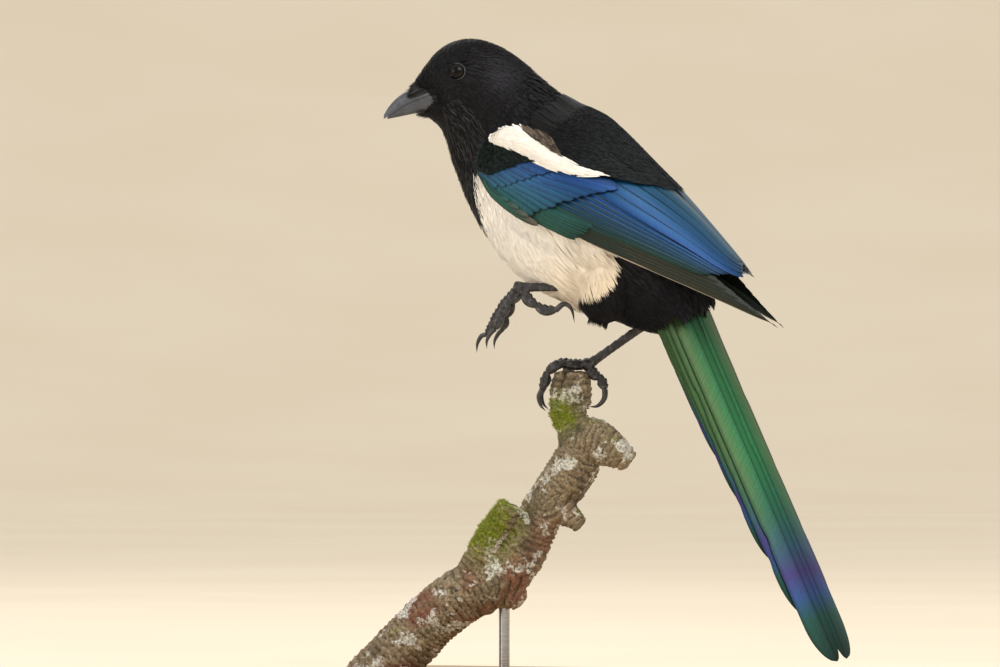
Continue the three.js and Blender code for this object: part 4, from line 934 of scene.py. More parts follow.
wingColours = {
    "primaries": webs([(0.0, "#cdbfae"), (0.3, "#b8a898"), (0.4, "#1a2420"), (0.49, "#0b0e0d"),
                       (0.56, "#1a2822"), (1.0, "#22332c")],
                      [(0.0, "#434b42"), (0.02, "#434b42"), (0.035, "#050807"), (0.08, "#0a100e"),
                       (0.13, "#1d3028"), (0.3, "#1d3028"), (1.0, "#182620")],
                      [(0.0, 0.9), (0.7, 1.0), (1.0, 0.75)],
                      ([(0.0, "#a39c8c"), (0.06, "#a39c8c"), (0.09, "#121715"), (0.49, "#0d1110"),
                        (1.0, "#26332d")],
                       [(0.0, "#6a6758"), (0.02, "#6a6758"), (0.035, "#070908"), (0.08, "#0d1210"),
                        (0.13, "#242e28"), (0.5, "#242e28"), (1.0, "#1f2523")]), (0.42, 0.5), 0.13, 0.012),
    "secondaries": webs([(0.0, "#06100f"), (0.08, "#1f4440"), (0.3, "#2b4f45"), (0.46, "#163231"),
                         (0.9, "#225866")],
                        [(0.0, "#08101c"), (0.06, "#1659b4"), (0.2, "#1c5cae"), (0.27, "#39462a"),
                         (0.44, "#414e2c"), (0.5, "#17427f"), (0.85, "#1f63b6")],
                        [(0.0, 0.82), (0.8, 0.76), (1.0, 0.5)],
                        ([(0.0, "#071010"), (0.08, "#254a42"), (0.46, "#1a3a36"), (0.9, "#264c42")],
                         [(0.0, "#081222"), (0.07, "#1a559c"), (0.44, "#1c5490"), (0.5, "#0f2f52"),
                          (0.85, "#1f659f")]), (0.3, 0.55)),
    "tertials": webs([(0.0, "#0a1a30"), (0.03, "#16509a"), (0.48, "#1a5f98"), (0.5, "#081a30"),
                      (0.52, "#1a5a8a"), (1.0, "#164c7a")],
                     [(0.0, "#0b1f30"), (0.03, "#1b587f"), (0.48, "#256d90"), (0.5, "#0a2230"),
                      (0.52, "#216380"), (1.0, "#1b526f")],
                     [(0.0, 0.55), (0.5, 0.64), (0.9, 0.62), (1.0, 0.4)]),
    "greater": webs([(0.0, "#07171a"), (0.06, "#15444c"), (0.47, "#1c5c66"), (0.5, "#0a2024"),
                     (0.525, "#19525c"), (1.0, "#133c44")],
                    [(0.0, "#081426"), (0.05, "#173f7a"), (0.47, "#1e4d90"), (0.5, "#0a1a34"),
                     (0.525, "#1b457f"), (1.0, "#153a6a")],
                    [(0.0, 0.9), (0.7, 1.0), (0.95, 0.95), (1.0, 0.6)]),
    "median": webs([(0.0, "#06121a"), (0.08, "#154456"), (0.5, "#1a5570"), (1.0, "#123a4c")],
                   [(0.0, "#070f1a"), (0.08, "#14386a"), (0.5, "#1a4a86"), (1.0, "#123160")],
                   [(0.0, 0.6), (0.6, 0.9), (0.9, 1.0), (1.0, 0.7)]),
    "primaryCoverts": webs([(0.0, "#060f0e"), (0.14, "#1b443d"), (0.5, "#265347"), (1.0, "#173632")],
                           [(0.0, "#060f10"), (0.14, "#1b4a48"), (0.5, "#235652"), (1.0, "#173a38")],
                           [(0.0, 0.8), (0.6, 1.0), (1.0, 0.65)]),
    "alula": webs([(0.0, "#08110f"), (0.12, "#1c463e"), (0.45, "#2a5c4c"), (0.5, "#102a25"), (1.0, "#1a403a")],
                  [(0.0, "#08120f"), (0.12, "#1d4f48"), (0.45, "#2a6658"), (0.5, "#102a25"), (1.0, "#1a4a46")],
                  [(0.0, 1.0), (1.0, 1.0)], ([(0.0, "#1b1814"), (0.2, "#4a453b"), (1.0, "#5a5448")],
                                             [(0.0, "#12211e"), (0.2, "#25504a"), (1.0, "#25504a")]),
                  (0.72, 0.92)),
}
# duller, smoother
vaneLook = {"primaries": {"roughness": 0.48, "metallic": 0.1, "fineness": 4.0, "depth": 0.00004}}
wingFinish = {kind: vaneMaterial("wing vane, " + kind + ", iridescent keratin", rule,
                                 **vaneLook.get(kind, {"metallic": 0.38})) for kind,
                                 rule in wingColours.items()}

bladeFinish = {"greater": {"ridge": 0.08, "thick": 0.22, "camber": 0.3},
               "median": {"ridge": 0.05, "camber": 0.22, "thick": 0.2}, "alula": {"ridge": 0.1},
               "tertials": {"ridge": 0.12, "thick": 0.24}, "secondaries": {"ridge": 0.1}}
for side, word in ((1, "left"), (-1, "right")):
    for kind, spec in wingSets.items():
        piece = wingVanes(kind + "_" + word, spec, side, 26 if spec["tipU"][0] > 100 else 16, 30 + side,
                          **bladeFinish.get(kind, {}))
        keep(piece, wingFinish[kind], ["wing_" + word] if kind == "primaries" else ())
    # downy feathers of the wrist, dark, greener towards the edge
    coat = wingCoat("shoulder_coverts_" + word, shoulderFeather, side,
                    lambda rng: strewn(shoulderLow, scapularLow, -4, 31, 0.8, 0.8, rng), 6.5,
                    lambda u, s: 0.1 + 0 * u, shoulderHeight, 1.7, 40 + side, front=-5.0, skirt=0.25, wavy=0.3)
    keep(coat, shoulderFeather)
    coat = wingCoat("scapular_feathers_" + word, softFeather, side,
                    lambda rng: strewn(scapularLow, scapularHigh, -1.5, 71, 0.9, 0.75, rng), 12.0,
                    lambda u, s: mix(np.arctan2(s - 13.0, u + 4.5), 0.06, smoothstep(u, 7, 22)) + 0.28
                    * smoothstep(u, 46, 64), scapularHeight, 1.3, 50 + side, marks=(1.0, 0.05), front=-2.5,
                    skirt=0.1, crown=0.06, wavy=0.25)
    keep(coat, softFeather, ["scapulars_" + word])
    # painted shade: the mantle feathers' tone drops towards the front, darkening them where they run in under the
    # neck's feathers
    coat = wingCoat("mantle_feathers_" + word, mantleFeather, side, lambda rng: strewn(mantleLow, middleLine,
            30, 100, 1.2, 1.1, rng), 16.0, lambda u, s: mix(0.05, 0.3, smoothstep(u, 50, 80)) * (s < 44),
            mantleHeight, 2.3, 60 + side, sink=-1.7, tip=0.15, crown=0.12, skirt=0.15,
            tone=lambda u, s, rng: rng.uniform(0, 1, len(u)) * mix(0.4, 1, smoothstep(u, 34, 60)))
    keep(coat, mantleFeather)
    # worn feathers at the white field's upper edge
    coat = wingCoat("worn_feathers_" + word, brownFeather, side,
                    lambda rng: strewn(lambda u: scapularHigh(u) - 1.0, lambda u: scapularHigh(u) + 4.5
                                       * np.exp(-((u - 31) / 8) ** 2), 20, 44, 1.1, 0.9, rng), 8.0,
                                       lambda u, s: -0.1 + 0 * u, lambda u, s: 3.0 + 0 * u, 1.8, 65 + side)
    keep(coat, brownFeather)


print("tail")
tailFeathers = {
    # shaft length, place across the roof, outer and inner web, from the middle pair out
    "length": np.array([233, 203, 168, 132, 106, 88.0]), "across": np.array([4.0, 9.6, 14.2, 17.2, 19.2, 20.4]),
    "outer": np.array([10.6, 8.4, 6.4, 4.8, 4.0, 3.4]), "inner": np.array([5.2, 7.4, 7.4, 7.4, 7.4, 7.4]),
    "start": 8.0, "layer": 1.25,
}


# Tail vanes: straight shafts that open from the root over their first third, each pair under the one above it
def tailVanes(side):
    table, rng = tailFeathers, np.random.default_rng(70 + side)
    spec = {"below": table["inner"], "above": table["outer"],
            "tipShare": np.minimum(0.3, 24 / (table["length"] - table["start"]))}
    t, w, wide, q, h, c = bladeOf(spec, 64, rng, camber=0.35, ridge=0.3, thick=0.4, notches=5, rootShare=0.05)
    along = mix(table["start"], table["length"][:, None, None], t)
    opening = mix(0.6, 1, smoothstep(along, 8, 26))
    depth = (table["layer"] * np.arange(6)[:, None, None] + (0.9 if side < 0 else 0)) * mix(0.7, 1,
            smoothstep(t, 0.04, 0.2))
    waver = 0.25 * np.sin(9 * t + rng.uniform(0, fullTurn, (6, 1, 1))) * t
    across = table["across"][:, None, None] * opening + q + waver
    points = onTail(along + 0 * q, side * across, -depth + h)
    return putBlades("tail_vanes_" + ("left" if side > 0 else "right"), points, t, w, q,
                     table["length"] - table["start"], rng, side < 0)


# Green gloss with bronze webs, then a purple and a blue band before the dark green tip
def tailColour(tree, vane, grain):
    wander = addNode(tree, "Math",
                     {0: vane["Y"], 1: addNode(tree, "Math", {0: grain, 1: 0.05}, operation="MULTIPLY_ADD")},
                     operation="ADD")
    wander = addNode(tree, "Math", {0: wander, 1: 0.525}, operation="SUBTRACT")
    along = addNode(tree, "ValToRGB", {0: wander}, stops=[(0.0, "#1c4a30"), (0.2, "#2a7044"), (0.45, "#2c7a4c"),
                                                          (0.6, "#246650"), (0.7, "#2b4f68"), (0.76, "#3d3670"),
                                                          (0.82, "#29487c"), (0.88, "#17483f"),
                                                          (1.0, "#0f2c25")])
    web = addNode(tree, "ValToRGB", {0: vane["X"]}, stops=[(0.0, 0.3), (0.1, 0.7), (0.3, 0.98), (0.47, 0.74),
                                                           (0.5, 0.3), (0.53, 0.6), (0.62, 0.86), (0.9, 1.05),
                                                           (1.0, 0.45)])
    bronze = addNode(tree, "Mix", {0: addNode(tree, "ValToRGB", {0: vane["X"]},
                                              stops=[(0.55, 0.0), (0.8, 0.55), (1.0, 0.75)]), 6: along,
                                              7: linear("#4c5a35")}, out=2, data_type="RGBA")
    shown = addNode(tree, "Mix", {0: addNode(tree, "ValToRGB", {0: vane["Y"]}, stops=[(0.5, 1.0), (0.75, 0.0)]),
                                  6: along, 7: bronze}, out=2, data_type="RGBA")
    # the outer pairs' shafts are pale towards the root
    pale = addNode(tree, "Math", {0: addNode(tree, "ValToRGB", {0: vane["X"]},
                                             stops=[(0.455, 0.0), (0.475, 1.0), (0.525, 1.0), (0.545, 0.0)]),
                                             1: addNode(tree, "Math", {0: addNode(tree, "ValToRGB",
                                                     {0: addNode(tree, "Attribute", out="Fac",
                                                             attribute_name="order")}, stops=[(0.1, 0.0),
                                                                     (0.19, 1.0)]), 1: addNode(tree, "ValToRGB",
                                                                             {0: vane["Y"]}, stops=[(0.3, 1.0),
                                                                                     (0.6, 0.0)])}, operation="MULTIPLY")}, operation="MULTIPLY")
    return addNode(tree, "Mix", {0: pale, 6: addNode(tree, "Mix", {0: 1.0, 6: shown, 7: web}, out=2,
                                                     data_type="RGBA", blend_type="MULTIPLY"),
                                                     7: linear("#b9b4a4")}, out=2, data_type="RGBA")


tailFinish = vaneMaterial("tail vane, iridescent keratin", tailColour, roughness=0.34, metallic=0.45)
keep(tailVanes(1), tailFinish, ["tail"])
keep(tailVanes(-1), tailFinish)


# Coverts over the root of the tail, above and below, trailing from the rump
def tailCoverts(name, sign, seed, count=620):
    rng = np.random.default_rng(seed)
    a = rng.uniform(-8, 13, count)
    b = rng.uniform(-11, 11, count)
    roof = lambda along, across: onTail(along, across, sign * (2.2 if sign > 0 else -7.8) + 0 * along)
    surface = roof if sign > 0 else (lambda along, across: roof(along, -across))
    piece = layCoat(name, surface, a, b, rng.uniform(10, 15, count), 1.7, -1.4, 0.2, 0.1,
                    rng.normal(0, 0.08, count), (0.3 + 0.3 * (b + 20) / 40, 0.5 + 0.4 * a / 30), rng, skirt=0.5,
                    frameSteps={"stepA": 0.5, "stepB": 0.5})
    return keep(piece, softFeather)


tailCoverts("tail_coverts_above", 1, 71)
tailCoverts("tail_coverts_below", -1, 72)


print("bill")
bill = {"upper": [[-92, 341.6, 336.6, 9.6], [-100, 340.9, 334.2, 7.0], [-106, 339.2, 331.9, 5.2],
                  [-111.5, 336.4, 329.5, 4.0], [-116.5, 332.6, 326.1, 2.9], [-120.6, 328.0, 323.4, 1.7],
                  [-123.4, 323.4, 321.6, 0.6]], "lower": [[-92, 336.0, 324.6, 9.0], [-100, 333.8, 324.8, 6.4],
                                                          [-106, 331.5, 324.2, 4.6], [-111.5, 329.1, 323.1,
                                                                  3.4], [-116.5, 325.8, 322.1, 2.4],
                                                                          [-119.6, 323.6, 321.5, 1.4], [-121.4,
                                                                                  322.3, 321.2, 0.5]],}


# One half of the bill: an arch between its two cutting edges, closed by a shallow floor, along a run of
# stations
def billHalf(stations, roof):
    table = np.array(stations)
    value = [through(np.arange(7), table[:, i]) for i in range(4)]
    at = np.linspace(0, 6, 60)
    x, top, low, half = [v(at)[:, None] for v in value]
    arch = np.linspace(-np.pi / 2, np.pi / 2, 33)[None, :]
    ridge, edge = (top, low - 0.42) if roof else (low, top)  # the upper edge closes over the lower one
    z = edge + (ridge - edge) * np.cos(arch) ** (0.82 if roof else 0.7)
    left = half * np.sin(arch)
    floorLeft = np.linspace(0.8, -0.8, 7)[None, :] * half
    floorZ = edge + (0.25 if roof else -0.25) * (1 - np.linspace(-1, 1, 7)[None, :] ** 2) * half / 5
    p = headPoint(x + 0 * arch, left, z)
    under = headPoint(x + 0 * floorLeft, floorLeft, floorZ)
    ring = np.concatenate([p, under], 1)
    return ring, ringFaces(60, 40, flip=roof)


hornMaterial, hornTree, hornShader = startMaterial("bill horn, keratin, worn satin", roughness=0.36, ior=1.55)
hornObject = addNode(hornTree, "TexCoord", out="Object")
hornCloud = addNode(hornTree, "TexNoise", {"Vector": hornObject, "Scale": 260.0, "Detail": 4.0,
                                           "Roughness": 0.6}, out="Fac")
# scuffs and growth lines about 0.5 mm apart run along the bill
hornScuff = addNode(hornTree, "TexNoise",
                    {"Vector": addNode(hornTree, "Mapping", {"Vector": hornObject, "Scale": (300, 1400, 2000)}),
                     "Scale": 1.0, "Detail": 3.0, "Roughness": 0.7}, out="Fac")
hornColour = addNode(hornTree, "ValToRGB", {0: hornCloud}, stops=[(0.3, "#26282f"), (0.55, "#3b3e48"),
        (0.75, "#50545f")])
hornTree.links.new(addNode(hornTree, "Mix",
                           {0: 0.15, 6: hornColour, 7: addNode(hornTree, "ValToRGB", {0: hornScuff},
                                   stops=[(0.3, "#15161a"), (0.75, "#6a6f78")])}, out=2, data_type="RGBA"),
                                   hornShader.inputs["Base Color"])
hornTree.links.new(addNode(hornTree, "ValToRGB", {0: hornScuff}, stops=[(0.3, 0.3), (0.7, 0.5)]),
                   hornShader.inputs["Roughness"])
hornTree.links.new(addNode(hornTree, "Bump", {"Height": hornScuff, "Strength": 0.35, "Distance": 0.0002}),
                   hornShader.inputs["Normal"])
for key, roof in (("upper", True), ("lower", False)):
    ring, faces = billHalf(bill[key], roof)
    keep(putMesh("bill_" + key + "_horn", ring, faces, sharp=55), hornMaterial, ["bill_" + key])


# Bristles: stiff narrow feathers, some forward over the nostrils down to the gape, some under the chin.
# share runs from the ridge of the bill to the gape
def bristleTufts():
    rng = np.random.default_rng(81)
    upper, chin, gape = 720, 260, 300
    count = upper + chin + gape
    over, corner = np.arange(count) < upper, np.arange(count) >= upper + chin
    share, side = rng.uniform(0, 1, count), np.where(np.arange(count) % 2 == 0, 1, -1)
    rootX = np.where(over, rng.uniform(-104.0, -93.0, count), rng.uniform(-101.0, -88.0, count))
    narrow = mix(0.7, 1.0, smoothstep(rootX, -104, -95))
    root = spread(rootX, side * np.where(over, mix(0.8, 8.6, share) * narrow, mix(0.2, 4.6, share)),
                  np.where(over, mix(344.2, 337.0, share) + 0.1 * (rootX + 104), 325.2 - 0.19 * (rootX + 101))
                  + rng.normal(0, 0.3, count))
    end = spread(np.where(over, mix(-106.8, -110.0, share) + rng.normal(0, 0.9, count),
                          rootX - rng.uniform(2.5, 5.0, count)), side * np.where(over, mix(0.4, 4.9, share),
                                  mix(0.1, 3.8, share)), np.where(over, mix(339.9, 332.8, share),
                                          root[:, 2] - rng.uniform(0.6, 2.2, count)) + rng.normal(0, 0.3,
                                                  count))
    tip = np.where(over[:, None], np.minimum(end, root - [2.5, -99, -99]), end)
    corners = spread(rng.uniform(-92.5, -85.5, count), side * 10.0, mix(338.6, 331.2, share))
    root = np.where(corner[:, None], corners, root)
    tip = np.where(corner[:, None], corners + spread(-rng.uniform(3.0, 5.5, count), -side * 1.0,
                                                     -rng.uniform(0.3, 1.8, count)), tip)
    over = over | corner
    t = featherAlong[None, :, None, None]
    w = featherAcross[None, None, :, None]
    middle = mix(root[:, None, None], tip[:, None, None], t)
    out = unit(spread(0 * share, side * np.where(over, 0.25 + share, 0.4),
                      np.where(over, 1.0 - 0.7 * share, -1.0)))[:, None, None]
    along = unit(tip - root)[:, None, None]
    across = np.cross(along + 0 * out, out)
    wide = 0.27 * featherWidths[None, :, None, None]
    p = middle + across * w * wide + out * (0.35 * np.sin(np.pi * t * 0.8) + 0.16 * (w == 0))
    p = headPoint(p[..., 0], p[..., 1], p[..., 2])
    tone = np.repeat(rng.uniform(0, 1, count), featherPoints)
    vane = np.stack(np.broadcast_arrays((w[..., 0] + 1) / 2 + 2 * np.arange(count)[:, None, None], t[..., 0]),
                    -1)
    home = np.stack(np.broadcast_arrays(0.1 + 0.5 * share[:, None, None] + 0.0015 * w[..., 0],
                                        0.02 + 0.05 * side[:, None, None] + 0.06 + 0.003 * (t[..., 0] - 0.5)),
                                        -1)
    return putMesh("bristles", p, repeated(ringFaces(featherRings, featherSides), count, featherPoints),
                   {"vane": vane, "OFBake": home}, {"tone": tone, "mark": 0, "warm": 0}, sharp=60)


keep(bristleTufts(), throatFeather)


print("eyes")
# Living eye: near-black brown iris under a wet clear surface
eyeMaterial, eyeTree, eyeShader = startMaterial("eye, wet cornea over dark iris", roughness=0.03, ior=1.376)
eyeShader.inputs["Specular IOR Level"].default_value = 0.27
eyeTree.links.new(addNode(eyeTree, "ValToRGB",
                          {0: addNode(eyeTree, "Attribute", out="Fac", attribute_name="gaze")},
                          stops=[(0.5, "#060504"), (0.72, "#0b0705"), (0.8, "#120b07"), (0.83, "#030202"),
                                 (0.86, "#010101")]), eyeShader.inputs["Base Color"])
lidMaterial, lidTree, lidShader = startMaterial("lid skin, fine wrinkled", roughness=0.55, ior=1.45)
lidGrain = addNode(lidTree, "TexNoise", {"Vector": addNode(lidTree, "TexCoord", out="Object"), "Scale": 1800.0,
                                                   "Detail": 3.0}, out="Fac")  # wrinkles of about 0.5 mm
lidTree.links.new(addNode(lidTree, "ValToRGB", {0: lidGrain}, stops=[(0.3, "#1a1b1e"), (0.7, "#4b4d52")]),
                  lidShader.inputs["Base Color"])
lidTree.links.new(addNode(lidTree, "Bump", {"Height": lidGrain, "Strength": 0.5, "Distance": 0.0002}),
                  lidShader.inputs["Normal"])


# Eyeball with a cornea that bulges a little along the gaze, and a lid ring round its opening
def eyePiece(side):
    theta, phi = np.linspace(0.02, np.pi - 0.02, 48)[:, None], around(64)[None, :]
    out = eyeOut[side]
    across = unit(np.cross(out, np.array([0, 0, 1.0])))
    up = np.cross(across, out)
    radius = eye["radius"] * (1 - 0.012 * smoothstep(theta, 0.35, 0.7) * (theta < 1.4))
    p = (eyeCentres[side] + (out * np.cos(theta)[..., None] + across * (np.sin(theta) * np.cos(phi))[..., None]
                             + up * (np.sin(theta) * np.sin(phi))[..., None]) * radius[..., None])
    gaze = np.broadcast_to(1 - theta / np.pi, (48, 64))  # 1 at the middle of the pupil
    ball = putMesh("eye_ball_" + ("left" if side > 0 else "right"), p, ringFaces(48, 64), marks={"gaze": gaze})
    a, b = around(72)[:, None], around(14)[None, :]
    ringRadius = eye["lidRadius"] + eye["lidThick"] * np.cos(b) * (1 + 0.12 * np.sin(23 * a))
    lift = eye["lidOut"] + eye["lidThick"] * np.sin(b) * 0.9
    lidPoints = (eyeCentres[side] + across * (ringRadius * np.cos(a) * 1.04)[..., None] + up
                 * (ringRadius * np.sin(a) * 0.97)[..., None] + out * lift[..., None])
    i, k = np.meshgrid(np.arange(72), np.arange(14), indexing="ij")
    quads = np.stack([i * 14 + k, i * 14 + (k + 1) % 14, ((i + 1) % 72) * 14 + (k + 1) % 14,
                      ((i + 1) % 72) * 14 + k], -1).reshape(-1, 4)
    lid = putMesh("lid_" + ("left" if side > 0 else "right"), lidPoints, [quads])
    return ball, lid


for side, word in ((1, "left"), (-1, "right")):
    ball, lid = eyePiece(side)
    keep(ball, eyeMaterial, ["eye_" + word])
    keep(lid, lidMaterial)


print("feet")
feet = {
    "scutes": 9, "scuteHeight": 0.5, "voxel": 0.28, "clawShare": 0.86,
    "shank": [2.9, 2.6, 2.3, 2.4, 2.9],
    "left": [  # toe path, claw path, thickness, pads
        ([[-39.6, -22, 226.5], [-44.9, -25, 219], [-49, -27, 211], [-51.6, -28, 204.2]],
         [[-51.6, -28, 204.2], [-54.2, -28.6, 201.6], [-56.2, -28.8, 197.6], [-56.2, -28.8, 193.2]], 2.2, 3),
        ([[-40, -22, 227], [-48, -22, 219.5], [-54.4, -22, 210], [-58.6, -22, 201.4]],
         [[-58.6, -22, 201.4], [-62.2, -22, 200.2], [-64.6, -22, 196], [-65, -22, 191]], 2.3, 4),
        ([[-39.2, -20.6, 226.5], [-45.6, -16.5, 219], [-50.6, -13.5, 211], [-53.6, -12, 204]],
         [[-53.6, -12, 204], [-56.4, -11.6, 201.4], [-58.6, -11.4, 197.4], [-58.8, -11.4, 193]], 2.1, 3),
        ([[-37, -22, 226], [-32.4, -22.4, 219.6], [-25.4, -22.6, 215.6], [-17.4, -22.6, 214.6]],
         [[-17.4, -22.6, 214.6], [-12.6, -22.6, 218.0], [-8.2, -22.6, 215.2], [-6.2, -22.6, 207.6]], 2.6, 2)],
    "right": [
        ([[-12.4, 8, 184.4], [-19, 3.0, 184.8], [-26.4, -1.4, 184.2], [-31.4, -3.6, 177.6], [-33, -4.4, 170.6]],
         [[-33, -4.4, 170.6], [-34.8, -4.6, 166.4], [-33.6, -4.6, 161.6], [-30.4, -4.4, 158.4]], 2.3, 3),
        ([[-12.4, 8.4, 184.4], [-20, 8, 185.4], [-28.4, 8, 185.2], [-34.6, 8, 179.6], [-36.4, 8, 172.0]],
         [[-36.4, 8, 172.0], [-38.4, 8, 167.6], [-37.2, 8, 162.6], [-33.8, 8, 159.2]], 2.4, 4),
        ([[-12.4, 9, 184.4], [-18.8, 13.8, 184.6], [-25.6, 18.0, 183.4], [-30.6, 20.4, 177.0],
          [-31.6, 21, 170.4]],
         [[-31.6, 21, 170.4], [-33.2, 21.2, 166.2], [-32, 21, 161.4], [-28.8, 20.6, 158.2]], 2.2, 3),
        ([[-9.6, 8, 183.4], [-5.2, 6.4, 178.8], [-0.8, 5.4, 175.6], [1.0, 5, 170.8]],
         [[1.0, 5, 170.8], [0.6, 4.8, 165.4], [-3.4, 4.6, 161.4], [-8.6, 4.4, 161.0]], 2.6, 2)],
}


# Overlapping plates down the front: a saw edge that drops once a plate
def plates(t, count):
    step = (t * count) % 1
    return (1 - step) * smoothstep(step, 0, 0.12)


def shankTube(ankle, foot):
    shape = through([0, 0.12, 0.5, 0.86, 1], feet["shank"])
    middle = (np.array(ankle) + np.array(foot)) / 2
    front = lambda angle: smoothstep(np.cos(angle), 0.1, 0.5)
    return tube([ankle, middle, foot], lambda t, angle: shape(t) + feet["scuteHeight"] * front(angle)
                * plates(t, feet["scutes"]) + 0.12 * (1 - front(angle))
                * np.sin(90 * t + 3 * np.sin(angle * 2)) * 0.6, 32, 150, up=(-0.55, 0, 0.83), flat=0.82)


# Toe: plates above, swelling pads below
def toeTube(path, thick, pads):
    above = lambda angle: smoothstep(np.cos(angle), 0.0, 0.5)
    return tube(path, lambda t, angle: mix(thick, thick * 0.86, t)
                * (0.7 + 0.42 * above(angle) * plates(t, 3 * pads) + 0.16 * np.abs(np.sin(np.pi * pads * t))
                   + 0.72 * smoothstep(-np.cos(angle), 0.0, 0.7) * np.abs(np.sin(np.pi * pads * t)) ** 0.8), 26,
                   130, flat=0.92)


# Claw: a cone on a curve, drawn in at its sides
def clawTube(path, thick):
    return tube(path, lambda t, angle: np.maximum(0.12, thick * (1 - t ** 2.1))
                * (1 - 0.12 * smoothstep(-np.cos(angle), 0.3, 0.9)), 20, 40, up=(0, 1, 0), flat=0.72)


legMaterial, legTree, legShader = startMaterial("leg scutes, dry horny skin", roughness=0.42, ior=1.5)
legObject = addNode(legTree, "TexCoord", out="Object")
# scales of 1.1 mm
scaleCells = addNode(legTree, "TexVoronoi", {"Vector": legObject, "Scale": 900.0}, feature="DISTANCE_TO_EDGE")
legCloud = addNode(legTree, "TexNoise", {"Vector": legObject, "Scale": 420.0, "Detail": 3.0}, out="Fac")
# painted shade: the scales' colour darkens to a third at their edges, in the creases between them; the same ramp
# is the bump's height
creaseDepthAndShade = addNode(legTree, "ValToRGB", {0: scaleCells}, stops=[(0.0, 0.35), (0.12, 1.0)])
legTree.links.new(addNode(legTree, "Mix",
                          {0: 1.0, 6: addNode(legTree, "ValToRGB", {0: legCloud},
                                              stops=[(0.3, "#0f0f10"), (0.5, "#242222"), (0.75, "#58525a")]),
                                              7: creaseDepthAndShade}, out=2, data_type="RGBA", blend_type="MULTIPLY"),
                                              legShader.inputs["Base Color"])
legTree.links.new(addNode(legTree, "Bump", {"Height": creaseDepthAndShade, "Strength": 0.5, "Distance": 0.00025}),
                  legShader.inputs["Normal"])

clawMaterial, clawTree, clawShader = startMaterial("claw horn, polished keratin", roughness=0.24, ior=1.55)
clawGrain = addNode(clawTree, "TexNoise", {"Vector": addNode(clawTree, "TexCoord", out="Object"),
                                           "Scale": 300.0, "Detail": 2.0}, out="Fac")
clawTree.links.new(addNode(clawTree, "ValToRGB", {0: clawGrain}, stops=[(0.3, "#0f0f11"), (0.7, "#2c2c31")]),
                   clawShader.inputs["Base Color"])
clawTree.links.new(addNode(clawTree, "Bump", {"Height": clawGrain, "Strength": 0.2, "Distance": 0.0002}),
                   clawShader.inputs["Normal"])

for word in ("left", "right"):
    shapes = [(shankTube(legs[word + "Ankle"], legs[word + "Foot"]), ringFaces(151, 32))]
    joint = np.array(legs[word + "Foot"], float)
    shapes.append((tube([joint + [2.4, 0, 1.4], joint + [-1.5, 0, -0.3], joint + [-4.2, 0, -1.0]],
                        lambda t, angle: 4.0 * np.sin(np.pi * (0.12 + 0.76 * t)) + 0 * angle, 24, 16),
                        ringFaces(17, 24)))
    for number, (toePath, clawPath, thick, pads) in enumerate(feet[word], 1):
        shapes.append((toeTube(toePath, thick, pads), ringFaces(131, 26)))
        claw = putMesh(f"claw_horn_{word}_{number}", clawTube(clawPath, thick * feet["clawShare"]),
                       ringFaces(41, 20), sharp=60)
        keep(claw, clawMaterial, [f"claw_{word}_{number}"])
    foot = fused("foot_skin_" + word, shapes, feet["voxel"], smooth=1)
    keep(foot, legMaterial, ["tarsus_" + word] + [f"toe_{word}_{n}" for n in range(1, 5)])


print("branch")
branch = {
    "path": [[-19, 5, 180.6], [-19.4, 5, 169], [-21, 5, 157.5], [-17, 5, 146], [-14.4, 5, 136.4],
             [-18.8, 5, 125], [-27.4, 4.5, 113],
             [-36, 4, 101.4], [-42, 3, 91], [-49, 1.5, 78], [-60.8, -0.5, 65], [-79.6, -3.5, 56],
             [-96.4, -6, 44], [-108, -9, 32.4],
             [-120, -12, 19.6], [-134, -15, 4]],
    "radii": [9.6, 11.8, 9.6, 10.0, 13.4, 13.6, 12.6, 12.4, 12.6, 13.6, 14.6, 15.6, 15.6, 15.8, 16.0, 16.2],
    "lumps": [([[-78, -4, 62], [-70, -7, 76], [-60, -9, 91], [-49, -10, 106]], [10, 8.9, 8.2, 7.0]),
              ([[-18, 5, 144], [-4, 4, 141.5], [8, 3, 136.5], [16, 3, 131]], [11, 12.4, 9.4, 5.6]),
              ([[-30, 4, 110], [-20, 2, 101], [-12, 1, 95]], [9, 7.4, 4.6]),
              ([[-66, 1, 64], [-56, 0, 58], [-47, -1, 54]], [10, 8.6, 6.0])],
    "level": 14.3,       # sawn level above the base
    "ringGap": 3.6,      # millimetres between the bark's peeling rings
    "voxel": 0.85,
}


